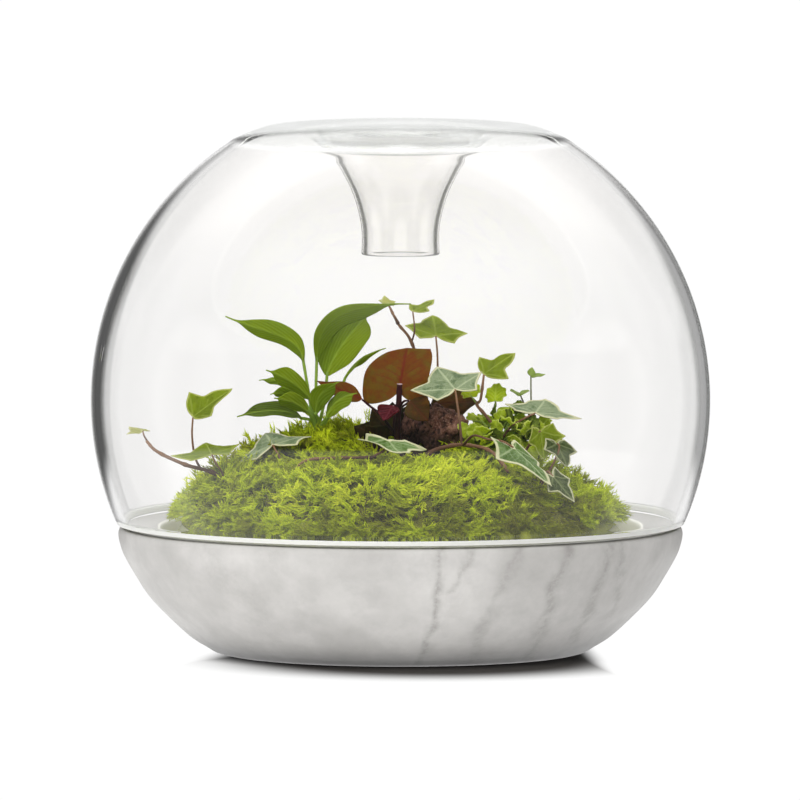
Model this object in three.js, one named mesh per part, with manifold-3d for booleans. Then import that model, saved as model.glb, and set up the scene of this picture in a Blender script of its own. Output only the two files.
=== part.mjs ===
// A glass plant terrarium: a turned marble bowl, a mound of soil with moss pads, stones and small
// plants, and a blown glass dome with a funnel drawn down inside it from its crest.
// Millimetres, +Z up, +Y away from the front; the origin is under the centre of the foot.
import * as THREE from 'three';
import { mergeVertices } from 'three/addons/utils/BufferGeometryUtils.js';
import Module from 'manifold-3d';

const wasm = await Module();
wasm.setup();

// ---- Driving dimensions ----

const GAP = 0.3; // between pieces that touch
const SMALLEST_STEP = 0.04; // finer steps than this are smoothed away
const ROUND_SIDES = 36; // sides of the turned and the blown piece

// Globe of the dome, its foot, and the wall
const GLOBE_RADIUS = 150;
const GLOBE_CENTRE = 121.7;
const GLASS_WALL = 4.5;
const FUNNEL_WALL = 3.6;
const LEDGE_HEIGHT = 61;
const SHOULDER_RADIUS = 84; // where the globe leaves its sphere for the crest
const GLOBE_STEPS = 8;
const FOOT_LIP = 0.6; // how far the ground foot of the dome is bevelled inwards
const FUNNEL_LIP = { out: 0.3, down: 1.45 }; // round end of the funnel's wall
// Middle of the wall from the shoulder over the crest and down the funnel: radius, height
const CREST_AND_FUNNEL = [
  [76.5, 247.8], [65.5, 252.1], [57, 253.2], [49.5, 252.4], [41.5, 249.2],
  [33.2, 241.2], [26.3, 231.2], [21.3, 220], [18.2, 207.9], [17.6, 199.5], [17.8, 193],
];

// Marble bowl: outside and rim, then the open basin, as radius and height
const BOWL_OUTSIDE = [
  [0, 0], [88, 0], [91, 0.8], [94.6, 3], [102.4, 8], [113, 17.7], [122, 27.3], [128.3, 37],
  [133.8, 46.7], [136, 53], [136.6, 57.5], [135.6, 60.2], [133.6, LEDGE_HEIGHT],
];
const BASIN_EDGE_RADIUS = 116;
const BASIN_LIP_RADIUS = 118;
const BASIN_FLOOR = 12;
const BASIN = [
  [BASIN_LIP_RADIUS, LEDGE_HEIGHT], [BASIN_EDGE_RADIUS, 59.6], [115, 52], [111, 40], [103, 28],
  [90, 18], [70, 13], [0, BASIN_FLOOR],
];

// Heights and reaches past everything that a cutting solid has to cross
const BELOW_BASIN = 5;
const BELOW_MOSS = 40;
const ABOVE_MOUND = 140;
const PAST_ALL = 200;

// Planted mound
const SOIL_ROOM = GAP + 0.1; // between the soil and the basin's wall
const SOIL_NET = { rings: 8, sides: 30 };
const MOUND_RADIUS = 114;
const MOUND_FOOT = 61;
const MOUND_RISE = 37;
const MOSS_DEPTH = 8;
const MOSS_NET = { rings: 17, sides: 69, wobble: 0.5, spread: 0.4 };
const TUFTS = { low: 4.5, high: 9, dip: 1.6, atRim: 0.4 }; // heights, and their part at the rim
const MOSS_EDGE_RADIUS = 111;
// At the right the moss stops short of the basin's edge: angle, spread of angle, distance
const MOSS_EDGE_SHORT = { angle: 8, spread: 50, cut: 7 };
const POCKET = { x: 6, y: 9, halfWidth: 27, halfDepth: 18 }; // bare soil round the stones
const SOIL_UNDER_POCKET = 0.25; // part of the moss's depth that the bare soil lies lower by
const SOIL_RIM_RISE = 2;
// Swellings and hollows of the mound: centre x and y, spread x and y, height
const MOUND_SWELLS = [
  [-36, 14, 30, 22, 8.5],
  [-80, -4, 24, 30, 3],
  [92, 0, 36, 70, -9],
  [-4, -18, 48, 14, -3.5],
];
// Moss pads: each is cut from the moss by a wedge round the pocket, from one angle to the next
const MOSS_PADS = [
  ['moss_front', 197, 322],
  ['moss_right', 322, 405],
  ['moss_back', 45, 122],
  ['moss_left', 122, 197],
];
const PAD_JOINT = 0.5; // degrees between two pads

// Blades and stalks
const BLADE_THICKNESS = 0.7;
const BLADE_HEART = 0.22; // where a blade's triangles meet, along its midrib
const SMALL_BLADE = 6; // a blade of this length grows by just the room that it is given
const STEPS_PER_POINT = 1.6; // of a stalk or stem, along its way
const SEAT_DEPTH = 4; // how deep a leaf stalk starts below its crown

// Colours from the photograph
const COLOURS = {
  marble: ['#e4e2df', 0.35],
  glass: ['#dfe6e2', 0.05],
  soil: ['#2b2119', 0.95],
  moss: ['#7f9a33', 0.9],
  rock: ['#6b4a40', 0.95],
  lily: ['#5f9a1c', 0.45],
  redLeaf: ['#6a4a1c', 0.5],
  redStalk: ['#5e1220', 0.4],
  ivyGreen: ['#6f9a35', 0.45],
  ivyGrey: ['#8fa68b', 0.5],
  ivyDark: ['#3f5220', 0.5],
  ivyStem: ['#7d5a45', 0.7],
  smallLeaf: ['#8fbf12', 0.5],
  seedling: ['#86a04c', 0.5],
};

// Half outlines of a blade: along the midrib (0 at the stalk, 1 at the tip), and across it
const IVY_HALF = [
  [0, 0], [-0.14, 0.22], [-0.17, 0.52], [0.04, 0.62], [0.1, 0.7], [0.3, 1], [0.4, 0.62],
  [0.46, 0.36], [0.66, 0.27], [0.84, 0.13], [1, 0],
];
const IVY_WEDGE_HALF = [
  [0, 0], [0.02, 0.3], [0.14, 0.66], [0.3, 1], [0.4, 0.62], [0.44, 0.38], [0.66, 0.28],
  [0.84, 0.13], [1, 0],
];
const ROUND_HALF = [
  [-0.1, 0], [-0.3, 0.36], [-0.28, 0.76], [0, 1], [0.4, 1.02], [0.76, 0.84], [0.98, 0.5],
  [1, 0],
];
const OVAL_HALF = [
  [0, 0], [0.08, 0.5], [0.25, 0.92], [0.45, 1], [0.68, 0.72], [0.86, 0.34], [1, 0],
];
const SCALLOPED_HALF = [
  [0, 0], [0, 0.7], [0.2, 0.8], [0.32, 1.06], [0.5, 0.9], [0.74, 0.86], [0.82, 0.52], [1, 0.28],
  [0.96, 0],
];

// Peace lily: for each leaf the stalk's way, the midrib's four control points and the half-width
// vector across the blade
const LILY_CROWN = [-41, 5, 107];
const LILY_LEAVES = [
  {
    stalk: [[-44, 4, 122]],
    rib: [[-47, 4, 140], [-48, 2, 154], [-66, -4, 154], [-84.5, -8, 163]],
    half: [2.6, -3, 4.2],
  },
  {
    stalk: [[-41, 6, 125]],
    rib: [[-40.6, 6, 140], [-42, 6, 160], [-28, 5, 169], [5, 1, 168]],
    half: [-4, -6, 3.5],
  },
  {
    stalk: [[-37, 8, 120]],
    rib: [[-35.6, 9, 133], [-33, 12, 143], [-24, 12, 154], [-14.5, 9, 164]],
    half: [8, -2, 4.2],
  },
  {
    stalk: [[-32, 10, 118]],
    rib: [[-27, 12, 131], [-22, 13, 140], [-17, 14, 143], [-7, 15, 145.5]],
    half: [1.2, -3.2, 2],
  },
  {
    stalk: [[-42, 3, 115]],
    rib: [[-43.5, 2, 122], [-49, -1, 129], [-56, -4, 133.5], [-65, -8, 137]],
    half: [2, -2, 4.4],
  },
  {
    stalk: [[-45, 5, 118]],
    rib: [[-52, 8, 125], [-57, 9, 130], [-62, 8, 132], [-68.5, 6, 130.5]],
    half: [0.4, 1.8, 1.2],
  },
  {
    stalk: [[-43, 2, 114]],
    rib: [[-49, -3, 120], [-53, -6, 124], [-58, -9, 127], [-63, -12, 125.5]],
    half: [1.4, -2.2, 2.6],
  },
  {
    stalk: [[-42, 1, 112]],
    rib: [[-45, -5, 116.5], [-49, -9, 121], [-55, -13, 123], [-61, -16, 124]],
    half: [2.4, -2, 3.4],
  },
  {
    stalk: [[-43, 3, 111]],
    rib: [[-48, -1, 113], [-55, -4, 118], [-67, -7, 117.5], [-79, -10, 114.5]],
    half: [1, -5.5, -3],
  },
  {
    stalk: [[-40, 2, 112]],
    rib: [[-41, -3, 115], [-42, -5, 124], [-37, -6, 128], [-29.5, -7, 131]],
    half: [-4, -1.6, 2.4],
  },
  {
    stalk: [[-38, 2, 110]],
    rib: [[-36, -3, 113], [-33, -6, 121], [-28, -8, 124.5], [-21, -10, 125.5]],
    half: [2, -3, -3],
  },
];
// Width of a lily blade at even steps from its base to its tip, as part of its half-width, and
// how far its sides fold up, as part of their width
const LILY_WIDTHS = [0.12, 0.62, 0.94, 1, 0.86, 0.58, 0.26, 0.05];
const LILY_FOLD = 0.22;
const LILY_ROOT = { radius: 2.6, way: [[-41, 5, 88], [-41, 5, 98], LILY_CROWN] };
const LILY_STALK_RADIUS = 1;

// Ivy blades: at is the joint with the leaf stalk, along the way to the tip, half the half-width
// vector, near the other side's part of it, fold the rise of the sides, curl the droop of the tip
const IVY_BLADES = {
  ivy_left_young_leaf: {
    at: [-124.5, -9, 107.6], along: [-6.5, -3, 2], half: [4.4, 4, 0.8], fold: 2, colour: 'ivyGreen',
  },
  ivy_left_upright_leaf: {
    at: [-100.4, -5, 113.6], along: [19, -4, 14.5], half: [-5.5, 8, 5],
    fold: 5, shape: IVY_WEDGE_HALF, colour: 'ivyGreen',
  },
  ivy_left_low_leaf: {
    at: [-90.8, -26, 97.4], along: [-3, 13, 4], half: [-18, -4, -3], near: 0.75, colour: 'ivyGreen',
  },
  ivy_moss_left_leaf: {
    at: [-61.7, -14, 101], along: [-4, 14, 5], half: [17, -4, 6.5], fold: 5, colour: 'ivyGrey',
  },
  ivy_front_wavy_leaf: {
    at: [-6, -41, 105.4], along: [6.4, -7.5, -7.4], half: [-16, 3, 2],
    curl: 1.5, colour: 'ivyGreen',
  },
  ivy_back_tip_leaf: {
    at: [-6, 20, 167], along: [-2, 3, 3.6], half: [4, 2, -0.5], colour: 'ivyGreen',
  },
  ivy_back_upper_leaf: {
    at: [6, 22, 163.1], along: [10.6, -4, 6], half: [-4.4, 5, 1],
    shape: IVY_WEDGE_HALF, colour: 'ivyGreen',
  },
  ivy_back_broad_leaf: {
    at: [17.2, 26, 150.9], along: [-1.5, 12, 10], half: [-14, -3, 2],
    near: 1.1, curl: 1, colour: 'ivyGreen',
  },
  ivy_right_grey_leaf: {
    at: [26.4, -12, 127.6], along: [-9, 15, 11], half: [-18, -4, -4.5],
    near: 0.85, curl: 2, colour: 'ivyGrey',
  },
  ivy_right_upper_leaf: {
    at: [40.4, 6, 133.5], along: [15, -4, 11], half: [6.5, -11, -4],
    shape: IVY_WEDGE_HALF, colour: 'ivyGreen',
  },
  ivy_right_spread_leaf: {
    at: [65.1, -12, 116.2], along: [5, 13, 4.5], half: [20, -6, -3.5],
    near: 0.78, curl: 2, colour: 'ivyGrey',
  },
  ivy_right_glossy_leaf: {
    at: [67.5, -24, 108.5], along: [1.5, -5, -14], half: [11, 5, 1.5],
    near: 0.6, colour: 'ivyGreen',
  },
  ivy_right_drooping_leaf: {
    at: [54, -60, 103.4], along: [18.4, -7, -18], half: [-13, -4, 2],
    near: 0.4, curl: 1.5, colour: 'ivyGrey',
  },
  ivy_right_shaded_leaf: {
    at: [75.3, -30, 103], along: [5, -4, -11], half: [8, 6, -1], colour: 'ivyDark',
  },
  ivy_right_hanging_leaf: {
    at: [72.8, -58, 89.6], along: [10.5, -6, -12], half: [5, 5, 2.5], colour: 'ivyDark',
  },
};

// Woody ivy stems: each node is a bundle of ways, the first being the main stem
const IVY_STEMS = {
  ivy_left_stem: [
    {
      radius: 1.1,
      way: [
        [-80, -15, 74], [-88.5, -15, 86.5], [-104, -14, 91.5],
        [-117.4, -12, 97.6], [-122.7, -10, 102.6],
      ],
    },
    { radius: 0.6, way: [[-121.6, -10.4, 101.4], [-123.8, -9.6, 105], [-124.5, -9, 107.6]] },
    {
      radius: 0.7,
      way: [[-96, -14.6, 88.6], [-99.4, -9, 95], [-100.8, -5.4, 105], [-100.4, -5, 113.6]],
    },
    { radius: 0.6, way: [[-84, -16, 80], [-86, -20, 88], [-89, -24.6, 93], [-90.8, -26, 97.4]] },
  ],
  ivy_moss_left_stem: [
    { radius: 0.7, way: [[-55, -18, 82], [-57.4, -17, 93], [-61.7, -14, 101]] },
  ],
  ivy_front_stem: [
    { radius: 0.8, way: [[-18, -34, 84], [-14, -38, 96], [-8, -40.6, 100.5], [-6, -41, 105.4]] },
    {
      radius: 0.8,
      way: [[-12, -38.6, 97], [-20, -46, 97.4], [-34, -50, 97.4], [-46, -50, 96], [-54, -48, 88]],
    },
  ],
  ivy_back_stem: [
    {
      radius: 1.1,
      way: [
        [16, 26, 80], [14, 26, 108], [11, 26, 130],
        [5.1, 25, 148.5], [-1.2, 22, 157.3], [-6, 20, 167],
      ],
    },
    { radius: 0.6, way: [[5.4, 25, 147.8], [6.8, 24, 154], [6, 22, 163.1]] },
    { radius: 0.7, way: [[13.4, 26, 112], [17.6, 26.6, 126], [18, 26, 140], [17.2, 26, 150.9]] },
    { radius: 0.9, way: [[-1.2, 22, 157.3], [-2.6, 20.5, 160.4], [-3.6, 20, 162.4]] },
  ],
  ivy_right_runner: [
    {
      radius: 1.1,
      way: [
        [6, -46, 80], [12, -45, 97.6], [24, -38, 102.4],
        [34, -36, 102.4], [44, -38, 99.4], [52, -42, 90],
      ],
    },
    {
      radius: 0.8,
      way: [[29.4, -37, 102.8], [28.6, -26, 112], [27.4, -16, 121], [26.4, -12, 127.6]],
    },
    {
      radius: 0.7,
      way: [[30, -37, 102.6], [35, -46, 108], [42, -55, 107], [49, -61, 106.4], [54, -60, 103.4]],
    },
  ],
  ivy_right_stem: [
    {
      radius: 1,
      way: [
        [54, -16, 76], [49.6, -12, 101], [42.6, -8, 113],
        [37, -4, 119.6], [38.8, 2, 122], [40.4, 6, 133.5],
      ],
    },
    {
      radius: 0.7,
      way: [[48.4, -11.8, 103], [53.6, -15, 110], [60, -15, 114], [65.1, -12, 116.2]],
    },
    { radius: 0.8, way: [[52.4, -15.2, 88], [61, -22, 100], [65, -24, 106.6], [67.5, -24, 108.5]] },
  ],
  ivy_edge_stem: [
    { radius: 0.8, way: [[64, -40, 70], [67, -44, 84], [70, -51, 91], [72.8, -58, 89.6]] },
    { radius: 0.7, way: [[66.4, -43.2, 82], [73, -37, 93], [76.4, -31, 101], [75.3, -30, 103]] },
  ],
};

// Red-leaved plant: blades of one colour, and the stalks with the rolled young leaf
const RED_BLADES = {
  red_plant_round_leaf: {
    at: [-0.4, 0, 127.4], along: [3.4, 5, 19.6], half: [-17.6, 1, -1],
    near: 0.74, curl: 3, shape: ROUND_HALF,
  },
  red_plant_folded_leaf: {
    at: [-18.6, 0, 122], along: [-21.5, 2.4, 9.6], half: [1.4, 4, 3.6], shape: OVAL_HALF, curl: -2,
  },
  red_plant_small_leaf: {
    at: [4.4, -9, 122], along: [9, -5, -9.5], half: [5, 2, 4], shape: OVAL_HALF, fold: 1.5,
  },
  red_plant_arched_leaf: {
    at: [15, 16, 118], along: [22, -1, 4], half: [0.5, 7, 8], shape: OVAL_HALF, curl: 4,
  },
};
const RED_YOUNG_LEAF = {
  at: [-3.4, -9, 119.6], along: [-5, -3, -7], half: [5, -2, -1], fold: 2.4,
};
const RED_STALKS = [
  { radius: 1.7, way: [[-1.6, -2, 84], [-1.4, -4, 108], [-0.8, -5, 121], [-0.4, -5.6, 130]] },
  { radius: 1, way: [[-1.4, -3, 104], [-1.8, -1.2, 116], [-0.4, 0, 127.4]] },
  { radius: 0.8, way: [[-1.6, -3.6, 104], [-9, -3, 114], [-15, -1, 119], [-18.6, 0, 122]] },
  { radius: 0.8, way: [[-0.8, -5, 118], [1.6, -8, 121.6], [4.4, -9, 122]] },
  { radius: 0.8, way: [[-1.4, -2.8, 101], [-2.8, 4, 113], [5, 12, 120], [15, 16, 118]] },
  { radius: 0.9, way: [[-1, -4.6, 116], [-2.4, -7.4, 119.4], [-3.6, -9.2, 119.2]] },
];

// Lava stones: centre, half sizes, seed
const STONES = {
  lava_rock_small: { at: [5, 12.5, 106.5], size: [5.4, 5.6, 10.5], seed: 11 },
  lava_rock_large: { at: [20.4, 1, 107], size: [11.6, 9.5, 12], seed: 29 },
};
const STONE_ROUGHNESS = 0.14;

// Small-leaved plant: crown, then for each leaf its joint, way to the tip and half-width vector
const SMALL_CROWN = [47, -1, 99];
const SMALL_ROOT = { radius: 1.4, way: [[47, -1, 80], [47, -1, 90], [47, -1, 100]] };
const SMALL_STALK = { radius: 0.6, bend: 0.62, seat: 2 }; // bend: height of its middle, as a part
const SMALL_LEAVES = [
  { at: [33.5, 9, 122.4], along: [1, 3, 7.5], half: [4.6, -1, 0.6] },
  { at: [45.6, 5, 120.6], along: [1, 3, 8.6], half: [5, -1.5, 0.4] },
  { at: [52, 3, 114.6], along: [3, 7, 3.6], half: [8, -3, 0.6] },
  { at: [39, -2, 105.4], along: [0.4, -2, 8.6], half: [4.4, 1, 0.6] },
  { at: [48.5, -3.4, 109], along: [0.6, -1, 8.6], half: [4.6, 1, 0] },
  { at: [55.4, -8.6, 101.6], along: [1.6, -4, 7.6], half: [5, 2, -0.6] },
  { at: [60, 0, 103.6], along: [3, 2, 7], half: [4.4, -2, 1] },
  { at: [41, -14, 101], along: [-2, -8, -0.6], half: [6, -2, 1] },
];

// Seedling: stem ways and leaves
const SEEDLING_STEM = [
  { radius: 0.6, way: [[66, 10, 80], [64.6, 9, 100], [63.4, 8, 118], [63.2, 8, 133]] },
  { radius: 0.55, way: [[64, 8.6, 110], [59.6, 8, 120], [57.6, 7, 124.6]] },
];
const SEEDLING_LEAVES = [
  { at: [63.2, 8, 132.6], along: [7, -2, 1.2], half: [0.6, 2, 0.8] },
  { at: [63.2, 8, 132.6], along: [0.6, 1.6, 4.4], half: [-1.9, 0.4, 0.4] },
  { at: [57.6, 7, 124.4], along: [-4.6, -5, 1.6], half: [-1.6, 3, 1.2] },
  { at: [57.6, 7, 124.4], along: [4.8, -2, 1.6], half: [0.6, 2.4, 1] },
];

// ---- Helpers ----

const vector = (p) => new THREE.Vector3(...p);

function seededRandom(seed) {
  let state = seed;
  return () => {
    state = (state + 0x6d2b79f5) | 0;
    let t = Math.imul(state ^ (state >>> 15), 1 | state);
    t = (t + Math.imul(t ^ (t >>> 7), 61 | t)) ^ t;
    return ((t ^ (t >>> 14)) >>> 0) / 4294967296;
  };
}

// A solid from corner points and triangles of three corner numbers each
function solidOf(corners, triangles) {
  return new wasm.Manifold(new wasm.Mesh({
    numProp: 3,
    vertProperties: new Float32Array(corners.flatMap((p) => [p.x, p.y, p.z])),
    triVerts: new Uint32Array(triangles.flat()),
  }));
}

// A solid from a three.js geometry, with its shared corners merged and flat triangles dropped
function solidOfGeometry(geometry) {
  geometry.deleteAttribute('normal');
  geometry.deleteAttribute('uv');
  const merged = mergeVertices(geometry, 1e-3);
  const index = merged.index.array;
  const kept = [];
  for (let i = 0; i < index.length; i += 3) {
    const [a, b, c] = [index[i], index[i + 1], index[i + 2]];
    if (a !== b && b !== c && c !== a) kept.push(a, b, c);
  }
  return new wasm.Manifold(new wasm.Mesh({
    numProp: 3,
    vertProperties: Float32Array.from(merged.attributes.position.array),
    triVerts: Uint32Array.from(kept),
  }));
}

// The largest piece of a solid as a three.js geometry
function geometryOf(solid) {
  const mesh = largestPiece(solid.simplify(SMALLEST_STEP)).getMesh();
  const geometry = new THREE.BufferGeometry();
  geometry.setAttribute('position', new THREE.BufferAttribute(mesh.vertProperties, 3));
  geometry.setIndex(new THREE.BufferAttribute(mesh.triVerts, 1));
  geometry.computeVertexNormals();
  return geometry;
}

// The largest piece of a solid, without the scraps that a cut leaves
function largestPiece(solid) {
  const pieces = solid.decompose();
  return pieces.reduce((best, piece) => (piece.volume() > best.volume() ? piece : best));
}

const joined = (solids) => solids.reduce((sum, solid) => sum.add(solid));

// A solid turned round the Z axis from a profile of [radius, height]
function turned(profile, sides = ROUND_SIDES) {
  const points = profile.map(([radius, height]) => new THREE.Vector2(radius, height));
  const geometry = new THREE.LatheGeometry(points, sides);
  geometry.rotateX(Math.PI / 2);
  return solidOfGeometry(geometry);
}

// A round tube along a smooth way; extra makes it thicker, and longer at both ends
function tube({ way, radius }, extra = 0, sides = 5) {
  const points = way.map(vector);
  const lengthen = (end, next) => end.addScaledVector(next.clone().sub(end).normalize(), -extra);
  lengthen(points[0], points[1]);
  lengthen(points[points.length - 1], points[points.length - 2]);
  const curve = new THREE.CatmullRomCurve3(points);
  const section = new THREE.Shape();
  for (let i = 0; i < sides; i++) {
    const angle = (2 * Math.PI * i) / sides;
    const x = (radius + extra) * Math.cos(angle);
    const y = (radius + extra) * Math.sin(angle);
    if (i === 0) section.moveTo(x, y);
    else section.lineTo(x, y);
  }
  const steps = Math.round(STEPS_PER_POINT * (way.length - 1));
  return solidOfGeometry(new THREE.ExtrudeGeometry(section, { steps, extrudePath: curve }));
}

// A solid under a surface: place(ring, side) gives a point of it, ring 0 being the centre
function mound(place, rings, sides, bottom) {
  const corners = [place(0, 0)];
  const triangles = [];
  const at = (ring, side) => (ring === 0 ? 0 : 1 + (ring - 1) * sides + (side % sides));
  for (let ring = 1; ring <= rings; ring++) {
    for (let side = 0; side < sides; side++) corners.push(place(ring, side));
  }
  for (let side = 0; side < sides; side++) {
    triangles.push([0, at(1, side), at(1, side + 1)]);
    for (let ring = 1; ring < rings; ring++) {
      triangles.push([at(ring, side), at(ring + 1, side), at(ring + 1, side + 1)]);
      triangles.push([at(ring, side), at(ring + 1, side + 1), at(ring, side + 1)]);
    }
  }
  const rim = corners.length;
  for (let side = 0; side < sides; side++) {
    const top = corners[at(rings, side)];
    corners.push(new THREE.Vector3(top.x, top.y, bottom));
  }
  const middle = corners.length;
  corners.push(new THREE.Vector3(corners[0].x, corners[0].y, bottom));
  for (let side = 0; side < sides; side++) {
    const next = (side + 1) % sides;
    triangles.push([at(rings, side), rim + side, rim + next]);
    triangles.push([at(rings, side), rim + next, at(rings, next)]);
    triangles.push([middle, rim + next, rim + side]);
  }
  return solidOf(corners, triangles);
}

// A plate between two faces with alike triangles, joined along the loop of its edge, which goes
// round the upper face clockwise
function plate(points, normals, triangles, loop, thickness) {
  const corners = [];
  points.forEach((p, i) => corners.push(p.clone().addScaledVector(normals[i], thickness / 2)));
  points.forEach((p, i) => corners.push(p.clone().addScaledVector(normals[i], -thickness / 2)));
  const count = points.length;
  const faces = triangles.map((t) => [...t]);
  triangles.forEach(([a, b, c]) => faces.push([a + count, c + count, b + count]));
  loop.forEach((a, i) => {
    const b = loop[(i + 1) % loop.length];
    faces.push([a, b, b + count], [a, b + count, a + count]);
  });
  return solidOf(corners, faces);
}

// A lobed, round or oval blade on flat or folded sides, from its half outline
function blade(leaf, halfOutline, grow = 0) {
  const at = vector(leaf.at);
  const along = vector(leaf.along);
  const half = vector(leaf.half);
  const up = along.clone().cross(half).normalize();
  const { near = 1, fold = 0, curl = 0 } = leaf;
  const place = (u, v) => at.clone()
    .addScaledVector(along, u)
    .addScaledVector(half, v < 0 ? v * near : v)
    .addScaledVector(up, fold * Math.abs(v) - curl * u * u);
  const spread = 1 + grow / SMALL_BLADE;
  const outline = [...halfOutline, ...halfOutline.slice(1, -1).reverse().map(([u, v]) => [u, -v])];
  const points = [place(BLADE_HEART, 0)];
  outline.forEach(([u, v]) => (
    points.push(place(BLADE_HEART + (u - BLADE_HEART) * spread, v * spread))
  ));
  const loop = outline.map((_, i) => i + 1);
  const triangles = loop.map((a, i) => [0, loop[(i + 1) % loop.length], a]);
  const normals = points.map(() => up);
  return plate(points, normals, triangles, loop, BLADE_THICKNESS + 2 * grow);
}

// A lance-shaped blade along a curved midrib
function lanceBlade({ rib, half }, grow = 0) {
  const curve = new THREE.CubicBezierCurve3(...rib.map(vector));
  const across = vector(half);
  const last = LILY_WIDTHS.length - 1;
  const points = [];
  const normals = [];
  LILY_WIDTHS.forEach((width, i) => {
    const middle = curve.getPoint(i / last);
    const normal = curve.getTangent(i / last).cross(across).normalize();
    const side = across.clone().multiplyScalar(width + grow / across.length());
    const rise = LILY_FOLD * width * across.length();
    [-1, 0, 1].forEach((v) => {
      points.push(middle.clone().addScaledVector(side, v).addScaledVector(normal, rise * Math.abs(v)));
      normals.push(normal);
    });
  });
  const triangles = [];
  for (let i = 0; i < last; i++) {
    for (let j = 0; j < 2; j++) {
      const a = 3 * i + j;
      triangles.push([a, a + 3, a + 4], [a, a + 4, a + 1]);
    }
  }
  const farSide = LILY_WIDTHS.map((_, i) => 3 * i + 2);
  const nearSide = LILY_WIDTHS.map((_, i) => 3 * i).reverse();
  const loop = [...farSide, 3 * last + 1, ...nearSide, 1];
  return plate(points, normals, triangles, loop, BLADE_THICKNESS + 2 * grow);
}

// ---- Surfaces of the mound ----

// Height that the swellings and hollows add
function swells(x, y) {
  return MOUND_SWELLS.reduce((sum, [cx, cy, sx, sy, height]) => (
    sum + height * Math.exp(-(((x - cx) / sx) ** 2) - ((y - cy) / sy) ** 2)
  ), 0);
}

// The mound is flat in the middle and falls away towards its foot
function mossHeight(x, y) {
  const reach = Math.min(1, Math.hypot(x, y) / MOUND_RADIUS);
  const fade = 1 - reach ** 6;
  return MOUND_FOOT + MOUND_RISE * (1 - reach ** 3) ** 0.9 + swells(x, y) * fade;
}

// How far a spot is into the bare pocket: 1 at its middle, 0 at its edge and beyond
function pocketDepth(x, y) {
  const across = (x - POCKET.x) / POCKET.halfWidth;
  const deep = (y - POCKET.y) / POCKET.halfDepth;
  return Math.max(0, 1 - across * across - deep * deep);
}

// The soil lies a moss's depth lower, less in the bare pocket and at the rim
function soilHeight(x, y) {
  const bare = Math.min(1, 3 * pocketDepth(x, y));
  const atRim = Math.min(1, Math.hypot(x, y) / MOUND_RADIUS) ** 4;
  const depth = MOSS_DEPTH * (1 - (1 - SOIL_UNDER_POCKET) * bare);
  return mossHeight(x, y) - depth + SOIL_RIM_RISE * atRim;
}

// A solid from below the basin up to the soil's surface, lifted by a distance
function soilMound(lift) {
  const { rings, sides } = SOIL_NET;
  const place = (ring, side) => {
    const radius = (BASIN_LIP_RADIUS * ring) / rings;
    const angle = (2 * Math.PI * side) / sides;
    const [x, y] = [radius * Math.cos(angle), radius * Math.sin(angle)];
    return new THREE.Vector3(x, y, soilHeight(x, y) + lift);
  };
  return mound(place, rings, sides, BELOW_BASIN);
}

// ---- Sub-parts ----

function marbleBase() {
  return turned([...BOWL_OUTSIDE, ...BASIN]);
}

// The wall is a middle line with half the wall on each side, round at the foot and the funnel end
function glassDome() {
  const middleRadius = GLOBE_RADIUS - GLASS_WALL / 2;
  const footMiddle = LEDGE_HEIGHT + GAP + GLASS_WALL / 2;
  const start = Math.asin((footMiddle - GLOBE_CENTRE) / middleRadius);
  const end = Math.acos(SHOULDER_RADIUS / middleRadius);
  const line = [];
  for (let i = 0; i <= GLOBE_STEPS; i++) {
    const angle = start + ((end - start) * i) / GLOBE_STEPS;
    const height = GLOBE_CENTRE + middleRadius * Math.sin(angle);
    line.push(new THREE.Vector2(middleRadius * Math.cos(angle), height));
  }
  CREST_AND_FUNNEL.forEach(([radius, height]) => line.push(new THREE.Vector2(radius, height)));
  const curve = new THREE.SplineCurve(line);
  const last = line.length - 1;
  const sideOf = (i, sign) => {
    const tangent = curve.getTangent(i / last);
    const half = (i <= GLOBE_STEPS ? GLASS_WALL : FUNNEL_WALL) / 2;
    return [line[i].x + sign * half * tangent.y, line[i].y - sign * half * tangent.x];
  };
  const outer = line.map((_, i) => sideOf(i, 1));
  const inner = line.map((_, i) => sideOf(i, -1)).reverse();
  const funnelLip = [line[last].x + FUNNEL_LIP.out, line[last].y - FUNNEL_LIP.down];
  const footLip = [line[0].x - FOOT_LIP, LEDGE_HEIGHT + GAP];
  return turned([...outer, funnelLip, ...inner, footLip, outer[0]]);
}

// The soil fills the basin up to its mounded top, with holes for what is planted in it
function soil(holes) {
  const basinFill = turned([
    [0, BASIN_FLOOR + GAP],
    ...BASIN.slice(1, -1).reverse().map(([radius, height]) => [radius - SOIL_ROOM, height + GAP]),
    [BASIN_EDGE_RADIUS - SOIL_ROOM, ABOVE_MOUND],
    [0, ABOVE_MOUND],
  ]);
  return largestPiece(soilMound(0).intersect(basinFill).subtract(holes));
}

// The moss's edge, nearer the middle round one angle
function mossReach(angle) {
  const { angle: middle, spread, cut } = MOSS_EDGE_SHORT;
  const turn = (angle * 180) / Math.PI;
  const away = ((((turn - middle + 180) % 360) + 360) % 360) - 180;
  return MOSS_EDGE_RADIUS - cut * Math.exp(-((away / spread) ** 2));
}

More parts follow.
